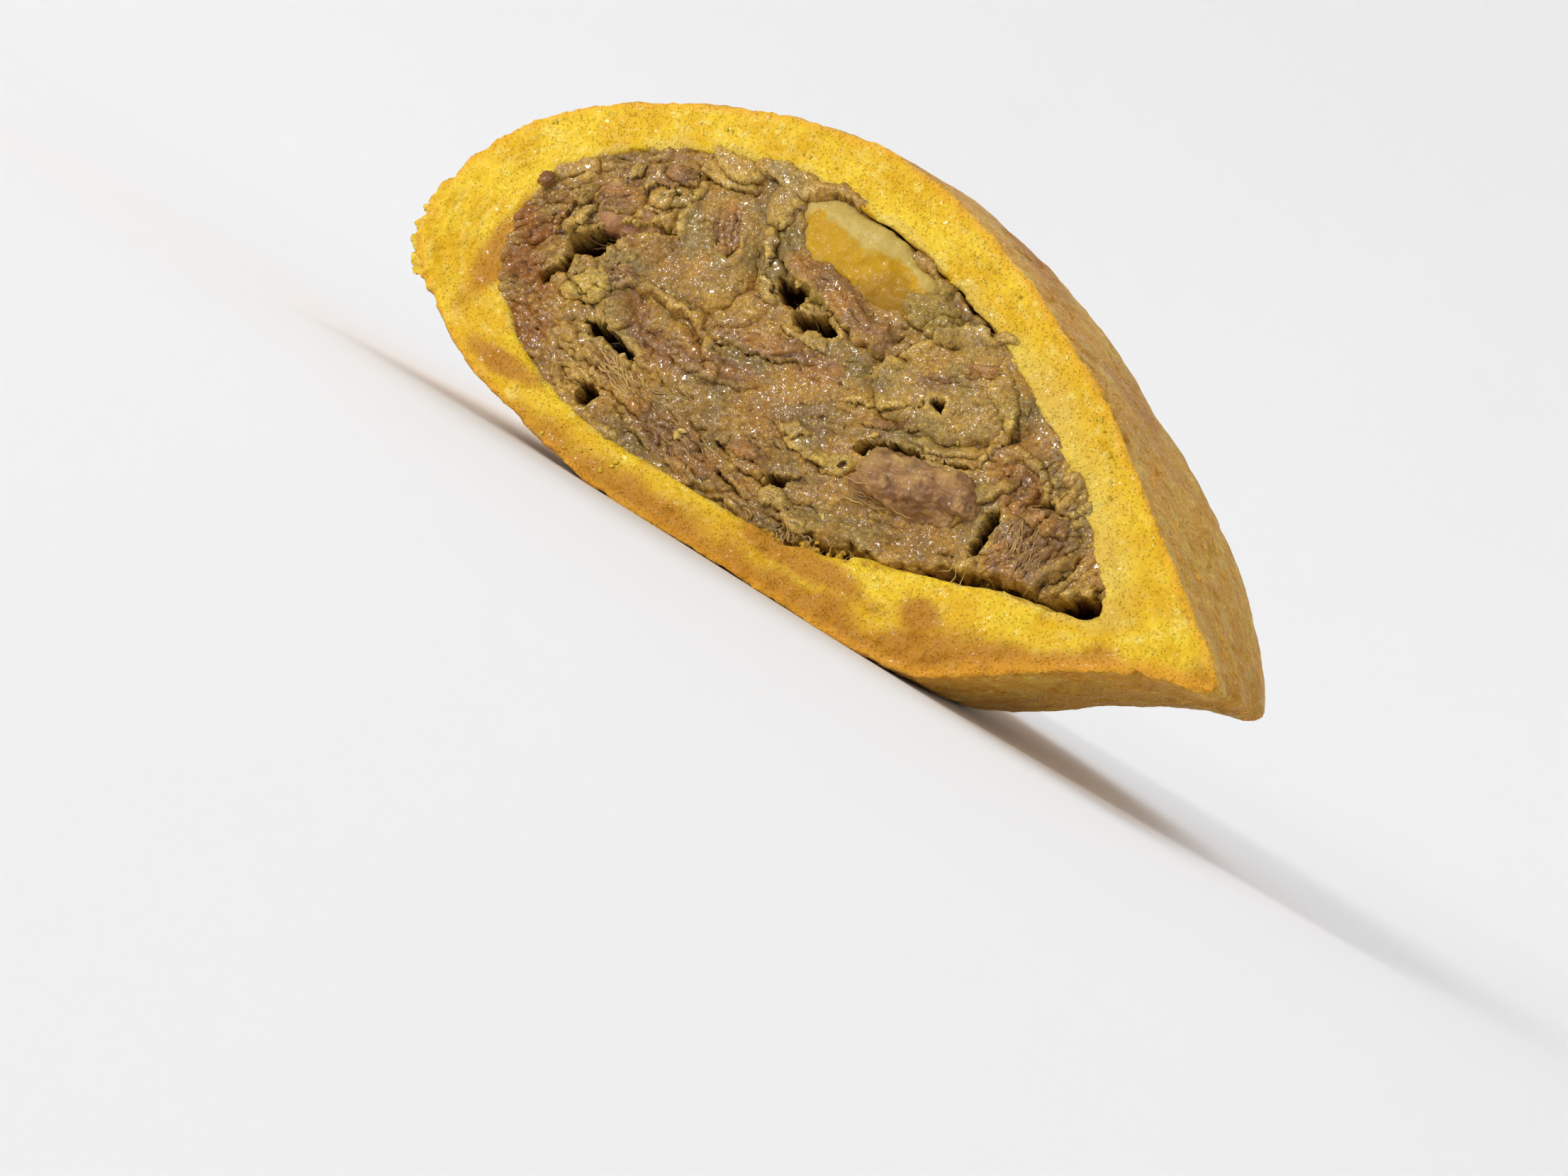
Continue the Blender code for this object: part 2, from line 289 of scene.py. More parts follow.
class Graph:
    """A node tree with short calls that add nodes and join them."""

    def __init__(self, tree: bpy.types.NodeTree) -> None:
        """Keeps the tree."""
        self.tree = tree

    def add(self, kind: str, inputs: dict | None = None, **settings: object) -> bpy.types.Node:
        """Adds a node.

        Args:
            kind: The node's type, without the leading ShaderNode.
            inputs: Values or sockets for its inputs, by name or index.
            **settings: Properties to set first.

        Returns:
            The node.
        """
        node = self.tree.nodes.new(f"ShaderNode{kind}")
        for key, value in settings.items():
            setattr(node, key, value)
        for key, value in (inputs or {}).items():
            self.feed(node.inputs[key], value)
        return node

    def feed(self, socket: bpy.types.NodeSocket, value: object) -> None:
        """Links a socket or sets a plain value.

        Args:
            socket: The input to fill.
            value: A socket, or a number, colour or vector.
        """
        if isinstance(value, bpy.types.NodeSocket):
            self.tree.links.new(value, socket)
        elif isinstance(value, tuple) and len(value) == 3 and socket.type == "RGBA":
            socket.default_value = (*value, 1.0)
        else:
            socket.default_value = value

    def mix(self, share: object, low: object, high: object) -> bpy.types.NodeSocket:
        """Mixes two colours."""
        node = self.add("Mix", {0: share, 6: low, 7: high}, data_type="RGBA")
        return node.outputs[2]

    def tint(self, base: object, colour: object, mask: object,
             share: float) -> bpy.types.NodeSocket:
        """Lays a share of a colour over the base where the mask is."""
        return self.mix(self.maths("MULTIPLY", mask, share), base, colour)

    def maths(self, operation: str, *values: object) -> bpy.types.NodeSocket:
        """One step of arithmetic."""
        node = self.add("Math", dict(enumerate(values)), operation=operation)
        return node.outputs[0]

    def ramp(self, value: object, low: float, high: float, start: float = 0.0,
             end: float = 1.0) -> bpy.types.NodeSocket:
        """Smooth ramp of a value.

        Args:
            value: Value or socket to ramp.
            low: Value that gives start.
            high: Value that gives end.
            start: Result at low.
            end: Result at high.

        Returns:
            The result's socket.
        """
        node = self.add("MapRange", {0: value, 1: low, 2: high, 3: start, 4: end},
                        interpolation_type="SMOOTHSTEP")
        return node.outputs[0]

    def noise(self, where: object, size: float, detail: float = 2.0,
              roughness: float = 0.5, warp: float = 0.0) -> bpy.types.NodeSocket:
        """Noise whose features are size millimetres across."""
        node = self.add("TexNoise", {"Vector": where, "Scale": 1000.0 / size, "Detail": detail,
                                     "Roughness": roughness, "Distortion": warp})
        return node.outputs[0]

    def attribute(self, name: str) -> bpy.types.NodeSocket:
        """A value kept on the piece's own vertices."""
        return self.add("Attribute", attribute_name=name).outputs["Fac"]


class Effects:
    """The effects that more than one finish uses, each a node group built once."""

    def __init__(self) -> None:
        """Builds the groups."""
        self.specks = self.build_specks()
        self.crumb = self.build_crumb()

    @staticmethod
    def start(name: str, inputs: dict[str, float], outputs: tuple[str, ...]
              ) -> tuple[bpy.types.NodeTree, Graph, bpy.types.Node, bpy.types.Node]:
        """Starts a group.

        Args:
            name: Name of the group.
            inputs: Default value of each of its float inputs.
            outputs: Names of its float outputs.

        Returns:
            The group, a graph on it, and its input and output nodes.
        """
        tree = bpy.data.node_groups.new(name, "ShaderNodeTree")
        tree.interface.new_socket("Vector", in_out="INPUT", socket_type="NodeSocketVector")
        for label, value in inputs.items():
            socket = tree.interface.new_socket(label, in_out="INPUT", socket_type="NodeSocketFloat")
            socket.default_value = value
        for label in outputs:
            tree.interface.new_socket(label, in_out="OUTPUT", socket_type="NodeSocketFloat")
        graph = Graph(tree)
        entry = tree.nodes.new("NodeGroupInput")
        leave = tree.nodes.new("NodeGroupOutput")
        return tree, graph, entry, leave

    def build_specks(self) -> bpy.types.NodeTree:
        """Sparse small specks: one to a cell, in a share of the cells.

        Returns:
            The group; its output is 1 on a speck.
        """
        tree, graph, entry, leave = self.start(
            "Specks", {"Scale": 500.0, "Share": 0.1, "Radius": 0.2}, ("Mask",))
        cells = graph.add("TexVoronoi", {"Vector": entry.outputs["Vector"],
                                         "Scale": entry.outputs["Scale"]})
        pick = graph.add("SeparateColor", {0: cells.outputs["Color"]}).outputs[0]
        chosen = graph.maths("LESS_THAN", pick, entry.outputs["Share"])
        inside = graph.maths("LESS_THAN", cells.outputs["Distance"], entry.outputs["Radius"])
        graph.feed(leave.inputs["Mask"], graph.maths("MULTIPLY", chosen, inside))
        return tree

    def build_crumb(self) -> bpy.types.NodeTree:
        """Fine crumb: grains of two sizes with small open pores.

        Returns:
            The group; its outputs are a height and a mask of the pores.
        """
        tree, graph, entry, leave = self.start("Crumb", {"Scale": 1000.0}, ("Height", "Pores"))
        where = entry.outputs["Vector"]
        scale = entry.outputs["Scale"]
        coarse = graph.add("TexNoise", {"Vector": where, "Scale": scale, "Detail": 3.0,
                                        "Roughness": 0.65})
        fine = graph.maths("MULTIPLY", scale, 2.6)
        cells = graph.add("TexVoronoi", {"Vector": where, "Scale": fine})
        pores = graph.ramp(cells.outputs["Distance"], 0.30, 0.12)
        dip = graph.maths("MULTIPLY", pores, 0.35)
        graph.feed(leave.inputs["Height"], graph.maths("SUBTRACT", coarse.outputs[0], dip))
        graph.feed(leave.inputs["Pores"], pores)
        return tree


@dataclass(frozen=True)
class Film:
    """The thin wet film over moist food: it glints where it bulges over small grains."""

    grains: float  # how many lie along a metre
    share: float  # share of the grains that are wet
    coat: float  # how much film there is, from 0 to 1
    bulge: float  # how far the film bulges, in metres


class Finish:
    """A procedural material on a Principled shader."""

    def __init__(self, name: str, effects: Effects) -> None:
        """Starts the material.

        Args:
            name: Its name.
            effects: The shared effects.
        """
        self.material = bpy.data.materials.new(name)
        self.material.use_nodes = True
        self.graph = Graph(self.material.node_tree)
        self.shader = self.material.node_tree.nodes["Principled BSDF"]
        self.effects = effects
        self.where = self.graph.add("TexCoord").outputs["Object"]

    def effect(self, group: bpy.types.NodeTree, **inputs: object) -> bpy.types.Node:
        """Places a shared effect in the material.

        Args:
            group: The effect.
            **inputs: Its values.

        Returns:
            The effect's node.
        """
        node = self.graph.tree.nodes.new("ShaderNodeGroup")
        node.node_tree = group
        self.graph.feed(node.inputs["Vector"], self.where)
        for key, value in inputs.items():
            self.graph.feed(node.inputs[key], value)
        return node

    def bump(self, height: object, distance: float, strength: float = 1.0) -> bpy.types.NodeSocket:
        """A bump of the height.

        Args:
            height: Height from 0 to 1.
            distance: What a height of 1 stands for, in metres.
            strength: Strength of the bump.

        Returns:
            The normal's socket.
        """
        node = self.graph.add("Bump", {"Height": height, "Distance": distance,
                                       "Strength": strength})
        return node.outputs["Normal"]

    def cover(self, colour: object, height: object, distance: float, strength: float) -> None:
        """Gives the surface its colour and its fine relief.

        Args:
            colour: Its colour.
            height: Height of the relief, from 0 to 1.
            distance: What a height of 1 stands for, in metres.
            strength: Strength of the relief.
        """
        self.graph.feed(self.shader.inputs["Base Color"], colour)
        self.graph.feed(self.shader.inputs["Normal"], self.bump(height, distance, strength))

    def moist(self, rough: object, film: Film) -> None:
        """A dull surface under a thin wet film.

        The film's bulges are made here and not in a shared effect, as they turn only the film.

        Args:
            rough: Roughness of the surface under the film.
            film: The film.
        """
        graph = self.graph
        shader = self.shader
        graph.feed(shader.inputs["Roughness"], rough)
        shader.inputs["Specular IOR Level"].default_value = 0.2
        spread = graph.ramp(graph.noise(self.where, 1.3, 3.0, 0.6), 0.32, 0.66, 0.35 * film.coat,
                            film.coat)
        wet = self.effect(self.effects.specks, Scale=film.grains, Share=film.share,
                          Radius=WHOLE_CELL)
        wet = graph.maths("ADD", graph.maths("MULTIPLY", wet.outputs[0], 0.93), 0.07)
        graph.feed(shader.inputs["Coat Weight"], graph.maths("MULTIPLY", spread, wet))
        shader.inputs["Coat Roughness"].default_value = 0.11
        shader.inputs["Coat IOR"].default_value = 1.7
        cells = graph.add("TexVoronoi", {"Vector": self.where, "Scale": film.grains})
        pick = graph.add("SeparateColor", {0: cells.outputs["Color"]}).outputs[1]
        round_top = graph.ramp(cells.outputs["Distance"], 0.0, 0.75, 1.0, 0.0)
        tall = graph.maths("MULTIPLY", round_top, graph.maths("ADD", pick, 0.35))
        graph.feed(shader.inputs["Coat Normal"], self.bump(tall, film.bulge))

    def patchy(self, size: float, low: float, high: float) -> bpy.types.NodeSocket:
        """A roughness from low to high in patches that are size millimetres across."""
        return self.graph.ramp(self.graph.noise(self.where, size, 2.0), 0.35, 0.65, low, high)

    def crumb_height(self, scale: float) -> bpy.types.NodeSocket:
        """Height of a fine crumb whose grains number scale to the metre."""
        return self.effect(self.effects.crumb, Scale=scale).outputs["Height"]

    def flesh(self, weight: float, radius: Colour, scale: float) -> None:
        """Lets light in under the surface, as moist food does.

        Args:
            weight: How much of it, from 0 to 1.
            radius: How far each colour goes, as shares of scale.
            scale: The farthest it goes, in metres.
        """
        self.shader.inputs["Subsurface Weight"].default_value = weight
        self.shader.inputs["Subsurface Radius"].default_value = radius
        self.shader.inputs["Subsurface Scale"].default_value = scale


@dataclass(frozen=True)
class DoughFinish:
    """Corn dough: bright moist crumb where it was cut, fried skin outside."""

    crumb: Colour = (0.89, 0.630, 0.034)
    crumb_pale: Colour = (0.93, 0.77, 0.20)
    crumb_deep: Colour = (0.76, 0.450, 0.009)
    wet_crumb: Colour = (0.70, 0.52, 0.14)
    stained: Colour = (0.47, 0.185, 0.014)
    skin: Colour = (0.86, 0.400, 0.026)
    skin_light: Colour = (0.93, 0.59, 0.095)
    skin_brown: Colour = (0.52, 0.205, 0.024)
    speck: Colour = (0.12, 0.045, 0.015)
    film: Film = Film(4200.0, 0.10, 0.28, 0.028 * MM)

    def cut_colour(self, finish: Finish) -> bpy.types.NodeSocket:
        """Colour of the cut crumb: pale and deep patches, pale grains, streaks along the wall.

        Args:
            finish: The material so far.

        Returns:
            The colour's socket.
        """
        graph = finish.graph
        where = finish.where
        patches = graph.ramp(graph.noise(where, 3.6, 4.0, 0.6), 0.40, 0.60)
        base = graph.mix(patches, self.crumb_deep, self.crumb)
        pale = graph.ramp(graph.noise(where, 1.5, 3.0, 0.6), 0.56, 0.78)
        base = graph.tint(base, self.crumb_pale, pale, 0.75)
        base = graph.tint(base, self.crumb_pale, graph.attribute("streak"), 0.40)
        mottle = graph.ramp(graph.noise(where, 0.42, 3.0, 0.7), 0.34, 0.66, 0.0, 0.62)
        base = graph.mix(mottle, base, self.crumb_deep)
        grains = finish.effect(finish.effects.specks, Scale=1100.0, Share=0.12, Radius=0.28)
        base = graph.tint(base, self.crumb_pale, grains.outputs[0], 0.45)
        base = graph.tint(base, self.wet_crumb, graph.attribute("soaked"), 0.42)
        return graph.tint(base, self.stained, graph.attribute("stain"), 0.85)

    def skin_colour(self, finish: Finish) -> bpy.types.NodeSocket:
        """Colour of the fried skin: golden, browner in patches, with dark specks.

        Args:
            finish: The material so far.

        Returns:
            The colour's socket.
        """
        graph = finish.graph
        where = finish.where
        light = graph.ramp(graph.noise(where, 2.4, 4.0, 0.65), 0.42, 0.68)
        base = graph.mix(light, self.skin, self.skin_light)
        flakes = graph.ramp(graph.noise(where, 0.9, 3.0, 0.7), 0.54, 0.62, 0.0, 0.55)
        base = graph.mix(flakes, base, self.skin_light)
        patchy = graph.ramp(graph.noise(where, 6.0, 4.0, 0.6, 0.4), 0.40, 0.66)
        browned = graph.maths("MULTIPLY", graph.attribute("brown"), patchy)
        more = graph.ramp(graph.attribute("brown"), 0.25, 1.1)
        browned = graph.maths("MAXIMUM", browned, graph.maths("MULTIPLY", more, 0.70))
        base = graph.mix(browned, base, self.skin_brown)
        fleck = finish.effect(finish.effects.specks, Scale=900.0, Share=0.14, Radius=0.26)
        base = graph.tint(base, self.skin_light, fleck.outputs[0], 0.30)
        specks = finish.effect(finish.effects.specks, Scale=420.0, Share=0.05, Radius=0.09)
        return graph.tint(base, self.speck, specks.outputs[0], 0.8)

    def material(self, effects: Effects) -> bpy.types.Material:
        """Builds the material.

        Args:
            effects: The shared effects.

        Returns:
            The material, which reads its piece's DOUGH_VALUES.
        """
        finish = Finish("fried_dough_dressed", effects)
        graph = finish.graph
        cut = graph.attribute("crumb")
        colour = graph.mix(cut, self.skin_colour(finish), self.cut_colour(finish))
        colour = graph.tint(colour, self.skin, graph.attribute("lip"), 0.6)
        coarse = finish.effect(effects.crumb, Scale=1500.0)
        skin = graph.maths("SUBTRACT", 1.0, cut)
        bubbly = graph.noise(finish.where, 0.55, 3.0, 0.65)
        blisters = graph.maths("MULTIPLY", graph.ramp(bubbly, 0.36, 0.64), skin)
        # Painted shade: the low skin between the blisters is painted browner.
        between = graph.ramp(bubbly, 0.49, 0.37, 0.0, 0.36)
        colour = graph.mix(graph.maths("MULTIPLY", between, skin), colour, self.skin_brown)
        # Painted shade in the crumb's pores, which are dips in the relief.
        colour = graph.tint(colour, self.crumb_deep, coarse.outputs["Pores"], 0.16)
        rough = graph.ramp(graph.noise(finish.where, 1.0, 3.0), 0.3, 0.7, 0.40, 0.62)
        finish.moist(rough, self.film)
        height = graph.maths("ADD", coarse.outputs["Height"],
                             graph.maths("MULTIPLY", blisters, 0.9))
        finish.cover(colour, height, 0.36 * MM, 1.0)
        finish.flesh(0.22, (1.0, 0.55, 0.10), 1.5 * MM)
        return finish.material


@dataclass(frozen=True)
class MashFinish:
    """Moist mash of potato and meat, greyish olive to reddish brown."""

    mash: Colour = (0.475, 0.250, 0.040)
    mash_pale: Colour = (0.80, 0.53, 0.11)
    mash_grey: Colour = (0.245, 0.168, 0.042)
    meat: Colour = (0.255, 0.110, 0.042)
    meat_red: Colour = (0.52, 0.225, 0.046)
    potato: Colour = (0.68, 0.47, 0.085)
    stained: Colour = (0.33, 0.115, 0.012)
    shadow: Colour = (0.17, 0.085, 0.028)
    # Painted shade: the colour of the hollows, also used for dark specks and dark bits.
    deep: Colour = (0.055, 0.016, 0.004)
    film: Film = Film(3400.0, 0.50, 1.0, 0.075 * MM)

    def material(self, effects: Effects) -> bpy.types.Material:
        """Builds the material.

        Args:
            effects: The shared effects.

        Returns:
            The material, which reads its piece's MASH_VALUES.
        """
        finish = Finish("meat_filling_dressed", effects)
        graph = finish.graph
        where = finish.where
        grey = graph.ramp(graph.noise(where, 4.5, 3.0), 0.38, 0.60)
        base = graph.mix(grey, self.mash_grey, self.mash)
        # Pale patches, and through the pale value the painted highlights on the crests.
        pale = graph.ramp(graph.noise(where, 1.6, 4.0, 0.65), 0.50, 0.76)
        pale = graph.maths("MAXIMUM", graph.maths("MULTIPLY", pale, 0.42), graph.attribute("pale"))
        base = graph.mix(pale, base, self.mash_pale)
        red = graph.ramp(graph.noise(where, 2.2, 3.0), 0.42, 0.66)
        meat = graph.mix(red, self.meat, self.meat_red)
        zones = graph.ramp(graph.noise(where, 2.6, 4.0, 0.6), 0.54, 0.68, 0.0, 0.7)
        lean = graph.maths("MAXIMUM", zones, graph.attribute("meat"))
        base = graph.tint(base, meat, lean, 0.74)
        base = graph.mix(graph.attribute("potato"), base, self.potato)
        base = graph.tint(base, self.stained, graph.attribute("oily"), 0.92)
        mottle = graph.ramp(graph.noise(where, 0.30, 3.0, 0.7), 0.40, 0.62, 0.0, 0.50)
        base = graph.mix(mottle, base, self.shadow)
        gloom = graph.ramp(graph.noise(where, 3.2, 3.0, 0.55), 0.48, 0.72, 0.0, 0.30)
        base = graph.mix(gloom, base, self.shadow)
        # Pale grains, partly painted glints: pale specks in the colour where the moist mash
        # sparkles.
        grains = finish.effect(effects.specks, Scale=3000.0, Share=0.34, Radius=0.30)
        base = graph.tint(base, self.mash_pale, grains.outputs[0], 0.46)
        # Dark specks, and painted shade where the deep value marks a hollow.
        dark = finish.effect(effects.specks, Scale=760.0, Share=0.06, Radius=0.09)
        shade = graph.maths("MAXIMUM", graph.maths("MULTIPLY", dark.outputs[0], 0.75),
                            graph.attribute("deep"))
        base = graph.mix(shade, base, self.deep)
        finish.moist(finish.patchy(0.9, 0.34, 0.56), self.film)
        finish.cover(base, finish.crumb_height(2300.0), 0.22 * MM, 1.0)
        finish.flesh(0.15, (1.0, 0.6, 0.25), 1.0 * MM)
        return finish.material


@dataclass(frozen=True)
class MeatFinish:
    """Stewed meat with fibres along it, read from the piece's own fibre value."""

    name: str = "meat_dressed"
    lean: Colour = (0.40, 0.215, 0.080)
    dark: Colour = (0.20, 0.092, 0.038)
    pale: Colour = (0.64, 0.42, 0.13)
    film: Film = Film(3300.0, 0.30, 0.55, 0.034 * MM)

    def material(self, effects: Effects) -> bpy.types.Material:
        """Builds the material.

        Args:
            effects: The shared effects.

        Returns:
            The material, which reads the fibre and edge values of its piece.
        """
        finish = Finish(self.name, effects)
        graph = finish.graph
        zone = graph.ramp(graph.noise(finish.where, 1.6, 4.0, 0.65), 0.36, 0.62)
        stripe = graph.ramp(graph.attribute("fibre"), -0.45, 0.45)
        base = graph.mix(graph.maths("MULTIPLY", zone, graph.maths("ADD", stripe, 0.45)), self.dark,
                         self.lean)
        pale = graph.ramp(graph.noise(finish.where, 0.9, 3.0, 0.6), 0.52, 0.74)
        # The edge value pales the pale threads and the fibre ends, and paints a highlight on the
        # upper left of the large pieces.
        edge = graph.maths("MAXIMUM", graph.maths("MULTIPLY", pale, 0.5), graph.attribute("edge"))
        base = graph.mix(edge, base, self.pale)
        finish.moist(finish.patchy(0.8, 0.34, 0.56), self.film)
        finish.cover(base, finish.crumb_height(2400.0), 0.12 * MM, 0.7)
        finish.flesh(0.12, (1.0, 0.45, 0.2), 0.9 * MM)
        return finish.material


@dataclass(frozen=True)
class PotatoFinish:
    """Boiled potato: mealy and pale above, see-through yellow in the middle, olive below."""

    pale: Colour = (0.55, 0.40, 0.10)
    yellow: Colour = (0.54, 0.30, 0.002)
    olive: Colour = (0.34, 0.17, 0.002)
    fleck: Colour = (0.70, 0.54, 0.20)
    film: Film = Film(6000.0, 0.12, 0.40, 0.028 * MM)

    def material(self, effects: Effects) -> bpy.types.Material:
        """Builds the material.

        Args:
            effects: The shared effects.

        Returns:
            The material, which reads the tone value of its piece: 0 pale, 0.5 yellow, 1 olive.
        """
        finish = Finish("potato_dressed", effects)
        graph = finish.graph
        wander = graph.maths("MULTIPLY", graph.noise(finish.where, 1.5, 4.0), 0.40)
        tone = graph.maths("ADD", graph.attribute("tone"), graph.maths("SUBTRACT", wander, 0.20))
        base = graph.mix(graph.ramp(tone, 0.22, 0.46), self.pale, self.yellow)
        base = graph.mix(graph.ramp(tone, 0.55, 0.95), base, self.olive)
        grains = finish.effect(effects.specks, Scale=2600.0, Share=0.18, Radius=0.3)
        base = graph.tint(base, self.fleck, grains.outputs[0], 0.22)
        finish.moist(finish.patchy(0.7, 0.36, 0.55), self.film)
        finish.cover(base, finish.crumb_height(1900.0), 0.12 * MM, 0.7)
        finish.flesh(0.30, (1.0, 0.75, 0.12), 1.4 * MM)
        return finish.material


@dataclass(frozen=True)
class FloorFinish:
    """Matt, nearly white floor with the faintest mottle."""

    light: Colour = (0.92, 0.92, 0.925)
    shade: Colour = (0.90, 0.90, 0.905)

    def material(self, effects: Effects) -> bpy.types.Material:
        """Builds the material.

        Args:
            effects: The shared effects.

        Returns:
            The material.
        """
        finish = Finish("pale_floor", effects)
        graph = finish.graph
        cloud = graph.noise(finish.where, 60.0, 2.0)
        graph.feed(finish.shader.inputs["Base Color"], graph.mix(cloud, self.shade, self.light))
        finish.shader.inputs["Roughness"].default_value = 0.7
        return finish.material


def merged_copy(source: bpy.types.Object) -> bmesh.types.BMesh:
    """A copy of a CAD mesh in world space, with its doubled corners merged.

    Args:
        source: The node's object, which stays as it is.

    Returns:
        The copy.
    """
    work = bmesh.new()
    work.from_mesh(source.data)
    work.transform(source.matrix_world)
    bmesh.ops.remove_doubles(work, verts=work.verts, dist=0.002 * MM)
    bmesh.ops.recalc_face_normals(work, faces=work.faces)
    return work


def evened(work: bmesh.types.BMesh, voxel: float) -> bmesh.types.BMesh:
    """The same closed shape with small even faces.

    Args:
        work: The shape, which is freed.
        voxel: Size of the new faces in metres.

    Returns:
        The new shape.
    """
    mesh = bpy.data.meshes.new("uneven")
    work.to_mesh(mesh)
    work.free()
    holder = bpy.data.objects.new("uneven", mesh)
    bpy.context.scene.collection.objects.link(holder)
    remesh = holder.modifiers.new("even", "REMESH")
    remesh.mode = "VOXEL"
    remesh.voxel_size = voxel
    graph = bpy.context.evaluated_depsgraph_get()
    even = bpy.data.meshes.new_from_object(holder.evaluated_get(graph))
    result = bmesh.new()
    result.from_mesh(even)
    bpy.data.objects.remove(holder)
    bpy.data.meshes.remove(mesh)
    bpy.data.meshes.remove(even)
    bmesh.ops.recalc_face_normals(result, faces=result.faces)
    return result


@dataclass
class Crust:
    """The fried dough: outer skin, cut edge and the wall round the filling."""

    source: bpy.types.Object
    face: CutFace
    box: Box
    voxel: float = 0.43 * MM
    hidden_depth: float = 8.0 * MM
    smoothing: int = 12
    cut_depth: float = 2.4 * MM
    cut_facing: float = -0.6
    pocket_middle: Vector = field(default_factory=lambda: Vector((30.0, 18.0, 0.0)) * MM)
    to_face: Matrix = field(init=False)
    skin: BVHTree = field(init=False)
    pocket: BVHTree = field(init=False)

    def __post_init__(self) -> None:
        """Keeps the skin and the pocket's wall apart, to measure distances from each."""
        self.to_face = self.face.frame().inverted()
        self.skin = self.faces_as_tree(inner=False)
        self.pocket = self.faces_as_tree(inner=True)

    def is_cut(self, place: Vector, normal: Vector) -> bool:
        """Whether a spot in the face's frame belongs to the knife's cut."""
        return place.y < self.cut_depth and normal.y < self.cut_facing

    def faces_inward(self, place: Vector, normal: Vector) -> bool:
        """Whether a spot in the face's frame looks into the pocket."""
        return (self.pocket_middle - place).dot(normal) > 0.0

    def faces_as_tree(self, inner: bool) -> BVHTree:
        """A search tree, in the face's frame, of the pocket's wall or of the outer skin.

        Args:
            inner: True for the pocket's wall, False for the skin.

        Returns:
            The tree.
        """
        work = merged_copy(self.source)
        work.transform(self.to_face)
        work.normal_update()
        others = []
        for item in work.faces:
            centre = item.calc_center_median()
            inward = self.faces_inward(centre, item.normal)
            if self.is_cut(centre, item.normal) or inward != inner:
                others.append(item)
        bmesh.ops.delete(work, geom=others, context="FACES")
        tree = BVHTree.FromBMesh(work)
        work.free()
        return tree

    def wall_distance(self, x: float, up: float, into: float = 3.0 * MM) -> float:
        """Distance from a place to the pocket's wall.

        Args:
            x: Place along the cut.
            up: Place up the face.
            into: How far in it lies.

        Returns:
            The distance; negative inside the dough.
        """
        place = Vector((x, into, up))
        spot, normal, _, distance = self.pocket.find_nearest(place)
        return distance if (place - spot).dot(normal) > 0.0 else -distance

    def build(self, material: bpy.types.Material) -> bpy.types.Object:
        """Makes the crust.

        Args:
            material: The dough's finish.

        Returns:
            The crust's object.
        """
        work = evened(merged_copy(self.source), self.voxel)
        work.transform(self.to_face)
        work.normal_update()
        self.drop_hidden_wall(work)
        skin = [vert for vert in work.verts
                if not self.is_cut(vert.co, vert.normal) and vert.co.y > 1.5 * MM]
        relax(work, skin, self.smoothing)
        work.normal_update()
        self.refine_cut(work)
        work.normal_update()
        self.form(work)
        work.transform(self.face.frame())
        piece = finish_mesh("crust_dough", work, material, self.box)
        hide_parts("crust")
        return piece

    def drop_hidden_wall(self, work: bmesh.types.BMesh) -> None:
        """Takes away the deep part of the pocket's wall, which the filling hides.

        Args:
            work: The crust in the face's frame, which is closed again.
        """
        hidden = [vert for vert in work.verts
                  if vert.co.y > self.hidden_depth and self.faces_inward(vert.co, vert.normal)]
        bmesh.ops.delete(work, geom=hidden, context="VERTS")
        rim = [edge for edge in work.edges if edge.is_boundary]
        bmesh.ops.holes_fill(work, edges=rim, sides=0)
        LOG.info("pocket closed behind %d rim edges", len(rim))

    def refine_cut(self, work: bmesh.types.BMesh) -> None:
        """Gives the cut edge smaller faces.

        Args:
            work: The crust in the face's frame.
        """
        near = {vert for vert in work.verts if self.is_cut(vert.co, vert.normal)}
        edges = [edge for edge in work.edges if edge.verts[0] in near and edge.verts[1] in near]
        bmesh.ops.subdivide_edges(work, edges=edges, cuts=1, use_grid_fill=True)

    def form(self, work: bmesh.types.BMesh) -> None:
        """Forms crumb on the cut and fried skin outside, and keeps what each place is made of.

        Args:
            work: The crust in the face's frame.
        """
        layers = {name: work.verts.layers.float.new(name) for name in DOUGH_VALUES}
        moved = []
        for vert in work.verts:
            place, normal = vert.co.copy(), vert.normal.copy()
            inward = self.faces_inward(place, normal)
            cut = smoothstep(0.35, 0.8, -normal.y) if place.y < 2.6 * MM else 0.0
            crumb = 1.0 if inward else cut
            depth = self.skin.find_nearest(place)[3]
            vert[layers["crumb"]] = crumb
            wide = 0.8 * MM + 1.0 * MM * smoothstep(44.0 * MM, 60.0 * MM, place.x) * (place.z < 0.0)
            vert[layers["lip"]] = 0.0 if inward else smoothstep(wide, 0.15 * MM, depth) * cut
            vert[layers["stain"]] = self.stain(place)
            vert[layers["brown"]] = self.browning(place)
            vert[layers["streak"]] = self.streak(place, depth)
            vert[layers["soaked"]] = self.soaked(place)
            if inward and place.y > 5.0 * MM:
                moved.append(place)
                continue
            if inward:
                out = (0.42 * grain(place, 3.2 * MM, 3.0) + 0.25 * grain(place, 1.3 * MM, 5.0)) * MM
            else:
                out = self.crumb_height(place, depth) * crumb
            out += self.skin_height(place) * (1.0 - crumb) + self.fold_tear(place)
            moved.append(place + normal * out)
        for vert, place in zip(work.verts, moved):
            vert.co = place

